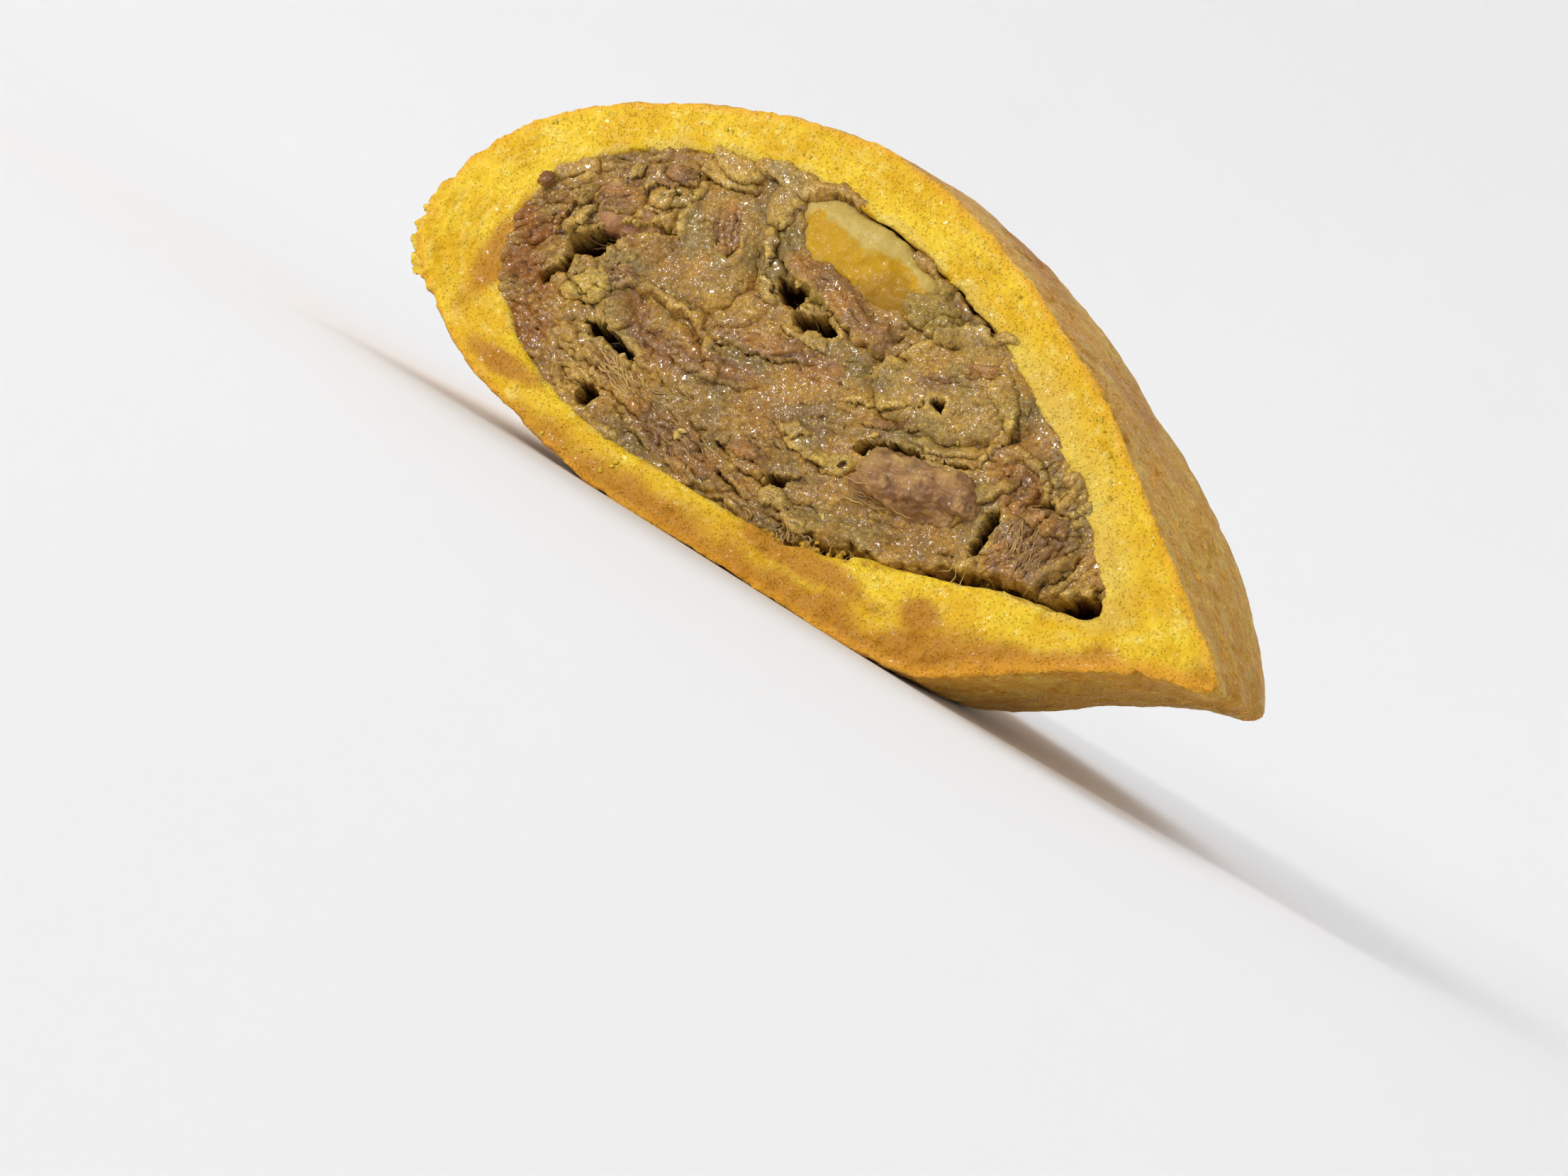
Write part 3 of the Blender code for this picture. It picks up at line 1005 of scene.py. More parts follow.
    @staticmethod
    def crumb_height(place: Vector, depth: float) -> float:
        """Height of the torn crumb on the cut.

        Args:
            place: Place in the face's frame.
            depth: Its distance from the outer skin.

        Returns:
            How far the crumb stands out, in metres.
        """
        rough = 0.20 * grain(place, 4.6 * MM) + 0.09 * grain(place, 1.8 * MM, 3.0)
        rough += 0.06 * grain(place, 0.8 * MM, 5.0) + 0.04 * grain(place, 0.42 * MM, 8.0)
        open_crumb = smoothstep(0.05, 0.4, grain(place, 5.5 * MM, 11.0))
        rough -= 0.26 * open_crumb * pits(place, 2.3 * MM, 0.30)
        rough += 0.09 * pits(place + Vector((7.0, 5.0, 1.0)) * MM, 1.35 * MM, 0.45)
        layer = Vector((place.x / (4.0 * MM), depth / (0.60 * MM), place.z / (4.0 * MM)))
        rough += 0.15 * noise.noise(layer)
        lower = smoothstep(-4.0 * MM, -8.0 * MM, place.z)
        lower *= smoothstep(24.0 * MM, 38.0 * MM, place.x)
        rough += lower * (0.30 * grain(place, 1.5 * MM, 7.0) + 0.20 * grain(place, 0.7 * MM, 9.0))
        return rough * MM

    @staticmethod
    def fold_tear(place: Vector) -> float:
        """Height of the torn edge of the fold.

        Args:
            place: Place in the face's frame.

        Returns:
            How far the edge sticks out, in metres.
        """
        x, up = place.x / MM, place.z / MM
        near = smoothstep(6.5, 3.0, x) * smoothstep(2.6, 0.6, place.y / MM)
        near *= smoothstep(-7.5, -4.5, up) * smoothstep(4.5, 2.0, up)
        torn = max(1.0 - abs(grain(place, 1.5 * MM, 33.0)) * 3.0, 0.0)
        return near * (0.42 * torn + 0.35 * grain(place, 0.7 * MM, 34.0)) * MM

    @staticmethod
    def seam_radius(place: Vector) -> float:
        """Distance from the middle of the seam's arc, seen from above."""
        return math.hypot(place.y, place.x - SEAM_MIDDLE)

    def skin_height(self, place: Vector) -> float:
        """Height of the fried skin, with its pits, its cracks and the rays of the pinched seam.

        Args:
            place: Place in the face's frame.

        Returns:
            How far the skin stands out, in metres.
        """
        rough = 0.26 * grain(place, 8.0 * MM, 1.0) + 0.15 * grain(place, 3.4 * MM, 4.0)
        rough += 0.10 * grain(place, 1.3 * MM, 6.0) + 0.05 * grain(place, 0.55 * MM, 2.0)
        rough -= 0.34 * pits(place, 3.1 * MM, 0.20) + 0.12 * pits(place, 1.2 * MM, 0.28)
        vein = 1.0 - abs(grain(place, 5.0 * MM, 9.0)) * 3.0
        broken = smoothstep(0.0, 0.3, grain(place, 7.0 * MM, 14.0))
        rough -= 0.28 * smoothstep(0.80, 0.97, vein) * broken
        angle = math.atan2(place.y, place.x - SEAM_MIDDLE)
        radius = self.seam_radius(place)
        flange = smoothstep(36.0 * MM, 46.0 * MM, radius)
        ray = Vector((angle * 46.0, radius / (7.0 * MM), place.z / (9.0 * MM)))
        rough += 0.20 * flange * noise.noise(ray)
        near_cut = smoothstep(9.0 * MM, 1.0 * MM, place.y)
        drag = Vector((place.x / (0.9 * MM), place.y / (6.0 * MM), place.z / (0.9 * MM)))
        return (rough + 0.10 * near_cut * noise.noise(drag)) * MM

    @staticmethod
    def stain(place: Vector) -> float:
        """Where fat and juice from the filling stained the cut, and where its foot browned.

        Args:
            place: Place in the face's frame.

        Returns:
            How stained it is, from 0 to 1.
        """
        spots = ((7.6, 0.5, 1.7, 5.5), (52.0, -6.2, 2.4, 1.5), (42.0, -7.3, 7.0, 1.2),
                 (13.0, -6.2, 4.0, 1.0))
        most = 0.0
        for x, up, half_x, half_up in spots:
            far = math.hypot((place.x / MM - x) / half_x, (place.z / MM - up) / half_up)
            far += 0.35 * grain(place, 2.0 * MM, x)
            most = max(most, smoothstep(1.2, 0.5, far))
        foot = smoothstep(-7.4, -9.4, place.z / MM + 1.3 * grain(place, 3.0 * MM, 2.0)
                          - 0.42 * max(place.x / MM - 50.0, 0.0))
        return max(most, foot) if place.y < 4.0 * MM else 0.0

    def browning(self, place: Vector) -> float:
        """How brown the frying left the skin: most on the crests and on the seam's rim.

        Args:
            place: Place in the face's frame.

        Returns:
            How brown it is, from 0 to 1.2.
        """
        rim = smoothstep(40.0 * MM, 52.0 * MM, self.seam_radius(place))
        crest = smoothstep(8.0 * MM, 18.0 * MM, place.z) * smoothstep(14.0 * MM, 40.0 * MM, place.x)
        cloud = 0.5 + 1.4 * grain(place, 11.0 * MM, 3.0) + 0.5 * grain(place, 4.0 * MM, 5.0)
        under = smoothstep(-2.0 * MM, -9.0 * MM, place.z)
        return min(max(cloud * (0.35 + 0.45 * crest + 0.5 * under) + 0.25 * rim, 0.0), 1.2)

    def soaked(self, place: Vector) -> float:
        """How far juice from the filling greyed the crumb beside the pocket.

        Args:
            place: Place in the face's frame.

        Returns:
            How soaked it is, from 0 to 1.
        """
        if place.y > 3.0 * MM:
            return 0.0
        gap = self.pocket.find_nearest(Vector((place.x, max(place.y, 1.5 * MM), place.z)))[3]
        right = smoothstep(42.0, 50.0, place.x / MM) * smoothstep(-3.0, 1.0, place.z / MM)
        gap += 0.7 * MM * grain(place, 1.8 * MM, 44.0)
        return smoothstep((0.5 + 2.6 * right) * MM, 0.2 * MM, gap)

    @staticmethod
    def streak(place: Vector, depth: float) -> float:
        """Denser streaks in the crumb that run along the wall."""
        layer = Vector((place.x / (1.9 * MM), depth / (0.42 * MM), place.z / (1.9 * MM)))
        return smoothstep(0.18, 0.60, noise.noise(layer))


def hole(x: float, up: float, half_x: float, half_up: float, turn: float, depth: float,
         tone: float = 0.0) -> Patch:
    """A cavity in the torn filling; its tone is how much fat stained it."""
    return Patch(Stuff.HOLE, x, up, half_x, half_up, turn, depth, tone)


def meat(x: float, up: float, half_x: float, half_up: float, turn: float, height: float,
         tone: float = 0.0, cliff: float = -50.0) -> Patch:
    """A patch of shredded meat whose fibres run along it; its tone is how pale it is."""
    return Patch(Stuff.MEAT, x, up, half_x, half_up, turn, height, tone, cliff)


def mash(x: float, up: float, half_x: float, half_up: float, turn: float, height: float,
         tone: float = 0.5, cliff: float = -50.0) -> Patch:
    """A fold or lump of mash; its tone is how pale it is."""
    return Patch(Stuff.MASH, x, up, half_x, half_up, turn, height, tone, cliff)


def smear(x: float, up: float, half_x: float, half_up: float, turn: float, tone: float) -> Patch:
    """Mash wiped over the edge of the crust; its tone is how pale it is."""
    return Patch(Stuff.SMEAR, x, up, half_x, half_up, turn, 0.42, tone)


def potato(x: float, up: float, half_x: float, half_up: float, turn: float, height: float,
           tone: float = 0.0, cliff: float = -50.0) -> Patch:
    """A yellow bit of potato; its tone is how olive it is."""
    return Patch(Stuff.POTATO, x, up, half_x, half_up, turn, height, tone, cliff)


TORN_PATCHES: tuple[Patch, ...] = (
    # Upper left: smeared mash, glossy shreds, and the crevice under them.
    mash(9.5, 7.7, 1.9, 1.3, 30, 0.35, 0.45, -60),
    mash(11.7, 6.2, 1.4, 0.32, 80, 0.55, 1.0, -15),
    meat(13.0, 8.9, 1.8, 1.1, 20, 0.30, 0.0, -75),
    mash(13.1, 10.7, 0.9, 0.25, 85, 0.4, 0.9, 0),
    meat(16.1, 12.1, 1.9, 0.42, 35, 0.5, 0.0, -60),
    mash(16.5, 10.7, 1.7, 0.7, 30, 0.35, 0.8, -60),
    hole(17.0, 10.9, 0.30, 0.24, 0, 1.0),
    hole(17.5, 11.6, 0.28, 0.2, 0, 0.9),
    mash(16.6, 5.7, 2.5, 2.2, 30, 0.55, 0.3, 160),
    hole(15.4, 6.9, 3.6, 0.62, 38, 4.2),
    hole(13.6, 5.0, 2.1, 1.15, 48, 5.4),
    hole(12.2, 2.0, 1.6, 0.60, 75, 3.0, 0.4),
    hole(10.6, 5.4, 1.0, 0.35, 80, 2.2, 0.5),
    meat(16.9, 3.6, 1.8, 0.9, 25, 0.25, 0.55, -60),
    potato(15.3, 2.0, 1.7, 1.35, 30, 0.45, 0.0, -75),
    mash(18.2, 1.3, 1.2, 0.7, 10, 0.3, 0.4, -90),
    # The broad column in the upper middle, hollowed, with a membrane at its right.
    mash(21.6, 9.6, 4.4, 2.7, -58, 0.45, 0.35, -35),
    meat(22.0, 10.6, 2.2, 1.3, -52, -0.30, 0.0, -40),
    mash(19.2, 14.3, 2.3, 0.75, 2, 0.40, 0.95, -85),
    mash(24.3, 14.6, 1.1, 1.6, 10, 0.35, 0.95, -60),
    mash(18.3, 11.3, 2.8, 0.35, -78, 0.35, 0.7, 180),
    hole(23.1, 9.0, 0.75, 0.40, 30, 2.2, 0.3),
    hole(22.3, 11.7, 0.38, 0.26, 0, 1.0),
    hole(21.6, 9.6, 0.34, 0.24, 0, 1.1),
    mash(25.5, 11.3, 1.7, 0.36, -62, 0.5, 0.9, -15),
    mash(27.2, 8.3, 1.3, 0.32, -40, 0.55, 0.9, 30),
    hole(26.3, 9.3, 0.48, 0.14, 80, 1.6),
    # The sunk, darker mash right of the left hole and along the right of the face.
    meat(22.6, 1.7, 4.2, 1.7, -10, -0.55, 0.0, 60),
    meat(52.0, 5.2, 2.4, 1.5, -35, -0.45, 0.0, 60),
    # The bed of the potato wedge, the meaty ridge under it, and the holes under that.
    mash(32.0, 14.0, 6.2, 2.4, -10, -0.9, 0.2, 90),
    meat(32.6, 10.4, 5.4, 1.25, -12, 0.60, 0.45, -75),
    hole(28.9, 8.9, 1.65, 0.85, -28, 3.6, 0.8),
    potato(30.5, 9.3, 1.0, 0.45, -15, -0.35, 0.6),
    potato(38.6, 13.2, 3.2, 1.4, -20, 0.55, 0.9, -75),
    hole(32.2, 7.7, 1.7, 0.70, 5, 5.4, 0.25),
    mash(32.4, 6.6, 1.9, 0.34, 2, 0.24, 0.85, -80),
    mash(34.3, 8.0, 0.9, 0.34, 75, 0.16, 0.6, 180),
    # The smooth middle, with two reddish ridges.
    mash(25.7, 6.2, 1.9, 1.3, 10, 0.20, 0.65),
    meat(30.2, 4.9, 2.9, 0.9, 14, 0.35, 0.25, -75),
    hole(28.3, 3.5, 3.4, 0.13, 10, 1.0, 0.5),
    meat(27.3, 1.6, 3.4, 0.8, 5, 0.22, 0.3, -80),
    meat(34.2, 5.2, 2.2, 1.2, 10, 0.0, 0.0),
    mash(21.8, 3.2, 2.6, 1.3, -25, 0.2, 0.4),
    # Low on the left: torn meat over dark hollows.
    hole(19.2, -0.5, 2.5, 0.58, -6, 5.0),
    hole(18.0, -0.1, 0.9, 0.60, 0, 4.0),
    mash(17.4, -2.0, 2.3, 0.9, -8, 0.35, 0.35, -80),
    meat(21.9, -2.8, 3.1, 1.0, -13, 0.42, 0.8, -85),
    hole(20.3, -5.0, 0.9, 0.85, 10, 3.4, 0.8),
    hole(24.6, -1.1, 1.3, 0.14, -25, 1.2, 0.3),
    meat(28.2, -4.4, 5.0, 1.4, -9, 0.35, 0.2, -85),
    hole(26.0, -3.7, 0.55, 0.22, 20, 1.5, 0.5),
    hole(30.6, -5.6, 1.3, 0.16, -8, 1.4, 0.5),
    meat(33.5, -2.9, 1.6, 0.85, -12, 0.4, 0.6, -80),
    hole(36.6, -3.2, 0.95, 0.55, 8, 5.6),
    mash(37.4, -4.3, 1.4, 0.5, -5, 0.35, 0.9, -85),
    hole(34.4, -6.4, 2.0, 0.22, 3, 2.6),
    meat(34.9, 0.5, 1.8, 0.32, 6, 0.35, 0.75, -85),
    mash(36.9, 0.1, 2.4, 0.55, -9, 0.35, 0.9, -85),
    potato(39.6, 0.1, 1.2, 0.85, 15, 0.40, 0.15, -60),
    # The pale lump on the right, with its ridges and membranes.
    mash(44.3, 9.0, 5.2, 3.1, 20, 0.42, 0.45, -65),
    mash(42.8, 9.6, 4.6, 3.2, 30, 0.42, 0.40, 160),
    mash(39.3, 8.9, 3.0, 0.50, 61, 0.20, 0.75, 150),
    mash(43.3, 12.9, 2.8, 0.48, 17, 0.35, 0.8, 110),
    meat(44.7, 10.8, 1.1, 0.5, 30, 0.1, 0.2),
    meat(42.6, 8.3, 1.3, 0.6, 20, 0.0, 0.3),
    mash(47.6, 9.9, 2.1, 0.7, -46, 0.35, 0.95, -30),
    mash(48.8, 7.4, 2.0, 0.36, 88, 0.30, 0.85, -8),
    hole(43.6, 7.3, 0.55, 0.26, 20, 2.8),
    hole(42.8, 6.7, 0.35, 0.2, 40, 1.5),
    mash(39.6, 5.2, 2.3, 0.38, 28, 0.32, 0.85, -60),
    meat(41.5, 4.3, 1.7, 0.34, 33, 0.30, 0.6, -60),
    mash(45.9, 5.2, 2.4, 0.6, 22, 0.25, 0.5, -65),
    hole(42.7, 2.7, 2.7, 0.50, 20, 5.2),
    hole(46.7, 4.0, 2.0, 0.22, 15, 3.0),
    # Round the large shreds at the lower right.
    mash(50.3, 3.2, 2.2, 0.40, 70, 0.45, 0.8, -20),
    hole(51.8, 1.2, 2.0, 0.58, 88, 6.0),
    meat(55.2, 2.0, 3.2, 2.5, 70, 0.35, 0.15, -40),
    meat(55.4, 4.3, 2.0, 0.6, 8, 0.30, 0.0, -80),
    mash(52.8, -1.6, 1.4, 0.6, 12, 0.50, 0.75, -75),
    hole(54.8, -1.9, 0.6, 0.3, 0, 2.6),
    hole(57.8, -1.2, 1.9, 0.60, 22, 5.0),
    hole(61.3, 0.8, 1.7, 0.75, 25, 5.0, 0.6),
    hole(55.2, 5.0, 1.6, 0.22, 10, 2.2),
    mash(59.3, 1.3, 1.4, 1.2, 40, 0.15, 0.3, -70),
    mash(44.4, -4.0, 6.0, 1.0, 7, 0.45, 0.40, -85),
    # Mash wiped over the edge of the crust.
    smear(8.7, 8.9, 1.4, 0.6, 31, 0.5),
    smear(14.5, 11.0, 0.30, 1.1, 0, 0.9),
    smear(19.6, 15.2, 2.0, 0.8, 5, 0.85),
    smear(23.4, 16.4, 2.8, 0.7, 4, 0.70),
    smear(44.2, 13.5, 1.7, 0.45, 10, 0.75),
)


@dataclass(frozen=True)
class Drag:
    """A region where the mash was dragged one way, in millimetres on the face."""

    x: float
    up: float
    reach: float
    turn: float


DRAGS: tuple[Drag, ...] = (
    Drag(11.0, 5.0, 6.0, 50.0),
    Drag(16.0, 10.0, 6.0, 32.0),
    Drag(22.0, 10.5, 6.0, -60.0),
    Drag(21.0, -2.0, 8.0, -14.0),
    Drag(29.0, 3.5, 8.0, 9.0),
    Drag(33.0, -3.5, 7.0, -8.0),
    Drag(42.0, 8.0, 8.0, 26.0),
    Drag(44.0, -1.0, 8.0, 12.0),
    Drag(55.0, 2.5, 6.0, 68.0),
)


@dataclass(frozen=True)
class Spot:
    """What the torn face is like at one place; every share is from 0 to 1."""

    into: float
    meat: float
    potato: float
    # pale is partly the mash's own paleness, partly painted highlight on the crests.
    pale: float
    oily: float
    # deep is painted shade, darkest where the face lies deepest.
    deep: float
    wiped: float


@dataclass
class TornFace:
    """The shape and stuff of the filling's torn face, before anything lies on it."""

    crust: Crust
    patches: tuple[Patch, ...] = TORN_PATCHES
    drags: tuple[Drag, ...] = DRAGS

    def folds(self, place: Vector) -> tuple[float, float, float]:
        """Folds, creases and fine grit that run the way the mash was dragged.

        Args:
            place: Place on the face.

        Returns:
            Height of the fold and depth of the crease there, each from 0 to 1, and the grit's
            height in millimetres.
        """
        x, up = place.x / MM, place.z / MM
        total, fold, crease, grit = 0.0, 0.0, 0.0, 0.0
        for number, drag in enumerate(self.drags):
            weight = math.exp(-((x - drag.x) ** 2 + (up - drag.up) ** 2) / drag.reach ** 2)
            if weight < 0.03:
                continue
            along, across = turned(x - drag.x, up - drag.up, math.radians(drag.turn))
            wave = noise.noise(Vector((along / 5.0, across / 1.7, 3.1 * number)))
            split = noise.noise(Vector((along / 3.4, across / 0.95, 3.1 * number + 50.0)))
            crest = noise.noise(Vector((along / 1.9, across / 0.75, 3.1 * number + 70.0)))
            small = noise.noise(Vector((along / 0.85, across / 0.36, 3.1 * number + 90.0)))
            tear = noise.noise(Vector((along / 2.0, across / 0.7, 3.1 * number + 110.0)))
            total += weight
            fold += weight * max(1.0 - abs(wave) * 4.0, 0.0)
            crease += weight * max(1.0 - abs(split) * 8.0, 0.0)
            grit += weight * (0.26 * max(1.0 - abs(crest) * 3.2, 0.0)
                              + 0.17 * max(1.0 - abs(small) * 3.0, 0.0)
                              - 1.5 * smoothstep(0.40, 0.62, tear))
        return (fold / total, crease / total, grit / total) if total else (0.0, 0.0, 0.0)

    @staticmethod
    def torn_share(place: Vector) -> float:
        """How torn the mash is: smooth in the middle and on the upper right, ragged elsewhere.

        Args:
            place: Place on the face.

        Returns:
            The share, from 0 to 1.
        """
        x, up = place.x / MM, place.z / MM
        ragged = max(smoothstep(20.0, 15.0, x), smoothstep(50.0, 54.0, x),
                     smoothstep(0.5, -2.0, up - 0.03 * (x - 20.0)) * smoothstep(44.0, 38.0, x))
        patchy = smoothstep(-0.05, 0.40, grain(place, 3.6 * MM, 13.0))
        return min(0.05 + 0.65 * ragged + 0.45 * patchy, 1.0)

    def base(self, place: Vector) -> tuple[float, float]:
        """The mash before any patch lies on it.

        Args:
            place: Place on the face.

        Returns:
            Its level in millimetres, and how pale it is: paler on the crests of the folds and the
            grit, a painted highlight.
        """
        fold, crease, grit = self.folds(place)
        torn = self.torn_share(place)
        middle = math.exp(-((place.x / MM - 31.0) / 19.0) ** 2 - ((place.z / MM - 6.0) / 9.0) ** 2)
        level = 0.62 - 0.50 * middle
        level += 0.42 * grain(place, 6.0 * MM) + 0.20 * grain(place, 2.7 * MM, 4.0)
        level -= (0.12 + 0.32 * torn) * fold ** 1.5 + torn * grit
        level += 0.60 * crease * torn * smoothstep(-0.1, 0.35, grain(place, 2.6 * MM, 17.0))
        level -= 0.06 * grain(place, 0.75 * MM, 51.0) + 0.06 * grain(place, 0.34 * MM, 61.0)
        level -= 0.07 * torn * max(1.0 - abs(grain(place, 0.30 * MM, 62.0)) * 3.0, 0.0)
        # Painted highlight: the crests of the folds and the grit are paled.
        return level, 0.5 * torn * (fold ** 3 + smoothstep(0.22, 0.40, grit))

    def spot(self, x: float, up: float, wall: float) -> Spot:
        """Works out the face at one place.

        Args:
            x: Place along the cut in metres.
            up: Place up the face in metres.
            wall: Distance to the pocket's wall in metres.

        Returns:
            How far in the face lies there, and what it is made of.
        """
        place = Vector((x, 0.0, up))
        warp_x, warp_up = x / MM, up / MM
        for number, (size, shift) in enumerate(((2.6, 0.55), (1.05, 0.34), (0.42, 0.13))):
            warp_x += shift * grain(place, size * MM, 21.0 + number)
            warp_up += shift * grain(place, size * MM, 31.0 + number)
        level, pale = self.base(place)
        lean = 0.3575 * smoothstep(0.0, 0.40, grain(place, 4.6 * MM, 41.0))
        potato_share, oily, wiped, sour = 0.0, 0.0, 0.0, 0.0
        for patch in self.patches:
            if abs(warp_x - patch.x) > max(patch.half_x, patch.half_up) * 1.5:
                continue
            far, along, across, side = patch.reach(warp_x, warp_up)
            if far > 1.5:
                continue
            if patch.stuff is Stuff.HOLE:
                weight = smoothstep(1.16, 0.70, far)
                lip = math.exp(-((far - 1.25) / 0.13) ** 2)
                level += max(patch.height - level, 0.0) * weight - 0.04 * lip
                pale *= 1.0 - weight
                oily = max(oily, weight * patch.tone)
                continue
            weight = smoothstep(1.25, 0.12 + 0.86 * side, far)
            if patch.stuff is Stuff.SMEAR:
                weight = smoothstep(1.24, 0.80, far)
                level += (-patch.height - level + 0.12 * grain(place, 1.1 * MM, 12.0)) * weight
                wiped = max(wiped, weight)
            else:
                foot = math.exp(-((far - 1.27) / 0.11) ** 2) * side ** 2
                level += (foot - weight) * patch.height
            inside = smoothstep(1.25, 0.75, far)
            # Each patch's own paleness, with a painted highlight along the rim of its steep side.
            crest = inside * (0.45 + 0.55 * math.exp(-((far - 0.95) / 0.30) ** 2) * side)
            if patch.stuff is Stuff.MEAT:
                lean = max(lean * (1.0 - 0.7 * inside), inside)
                pale = pale * (1.0 - 0.6 * inside) + patch.tone * 0.7 * crest
                level -= inside * self.fibres(along, across, patch.x)
            elif patch.stuff is Stuff.POTATO:
                potato_share = max(potato_share * (1.0 - inside), 0.85 * inside)
                lean *= 1.0 - inside
                pale = pale * (1.0 - inside) + (0.6 - patch.tone) * inside
                sour = max(sour * (1.0 - inside), patch.tone * inside)
            else:
                lean *= 1.0 - 0.8 * inside
                pale = pale * (1.0 - 0.6 * inside) + 0.75 * patch.tone * crest
        level, oily = self.meet_wall(place, wall, level, oily, wiped)
        # Painted shade: the deeper the face lies, the darker it is painted; olive potato is
        # darkened a little as well.
        deep = max(smoothstep(1.3, 3.4, level), 0.38 * sour)
        return Spot(level * MM, min(lean, 1.0), potato_share, min(max(pale, 0.0), 1.0), oily, deep,
                    wiped)

    @staticmethod
    def fibres(along: float, across: float, seed: float) -> float:
        """Height in millimetres of the meat's fibres at a local place in a patch."""
        broad = noise.noise(Vector((along / 2.6, across / 0.50, seed)))
        fine = noise.noise(Vector((along / 1.3, across / 0.24, seed + 20.0)))
        return 0.26 * broad + 0.15 * fine

    @staticmethod
    def meet_wall(place: Vector, wall: float, level: float, oily: float,
                  wiped: float) -> tuple[float, float]:
        """Brings the face to the crust: flush with it, or behind a crack where it shrank away.

        Args:
            place: Place on the face.
            wall: Distance to the pocket's wall in metres.
            level: How far in the face lies, in millimetres.
            oily: How stained it is.
            wiped: How far mash lies over the crust there.

        Returns:
            The new level and stain.
        """
        x, up = place.x / MM, place.z / MM
        near = smoothstep(1.6 * MM, 0.2 * MM, wall) * (1.0 - wiped)
        level += (min(level, 0.45) - level) * near * 0.8
        crack = smoothstep(29.0, 33.0, x) * smoothstep(45.0, 42.0, x) * smoothstep(11.0, 13.0, up)
        below = smoothstep(38.0, 42.0, x) * smoothstep(63.0, 60.0, x)
        below *= smoothstep(1.5, -0.5, up - 0.33 * (x - 58.0))
        narrow = smoothstep(0.60 * MM, 0.20 * MM, wall + 0.35 * MM * grain(place, 1.2 * MM, 81.0))
        uneven = grain(place, 2.4 * MM, 82.0) + 0.40 * grain(place, 0.9 * MM, 83.0)
        wide = smoothstep(1.3 * MM, 0.1 * MM, wall + uneven * MM)
        level += 2.0 * crack * narrow + 2.8 * below * wide
        level += 0.35 * below * wide * grain(place, 0.5 * MM, 84.0)
        level += 1.7 * smoothstep(-0.25 * MM, -0.9 * MM, wall) * (1.0 - wiped)
        left = smoothstep(17.5, 12.0, x) * smoothstep(4.8 * MM, 0.6 * MM, wall)
        left *= smoothstep(8.5, 5.0, up) * (0.90 + 1.5 * grain(place, 2.2 * MM, 90.0))
        return level, min(max(oily, crack * narrow, left, 0.5 * below * wide), 1.0)


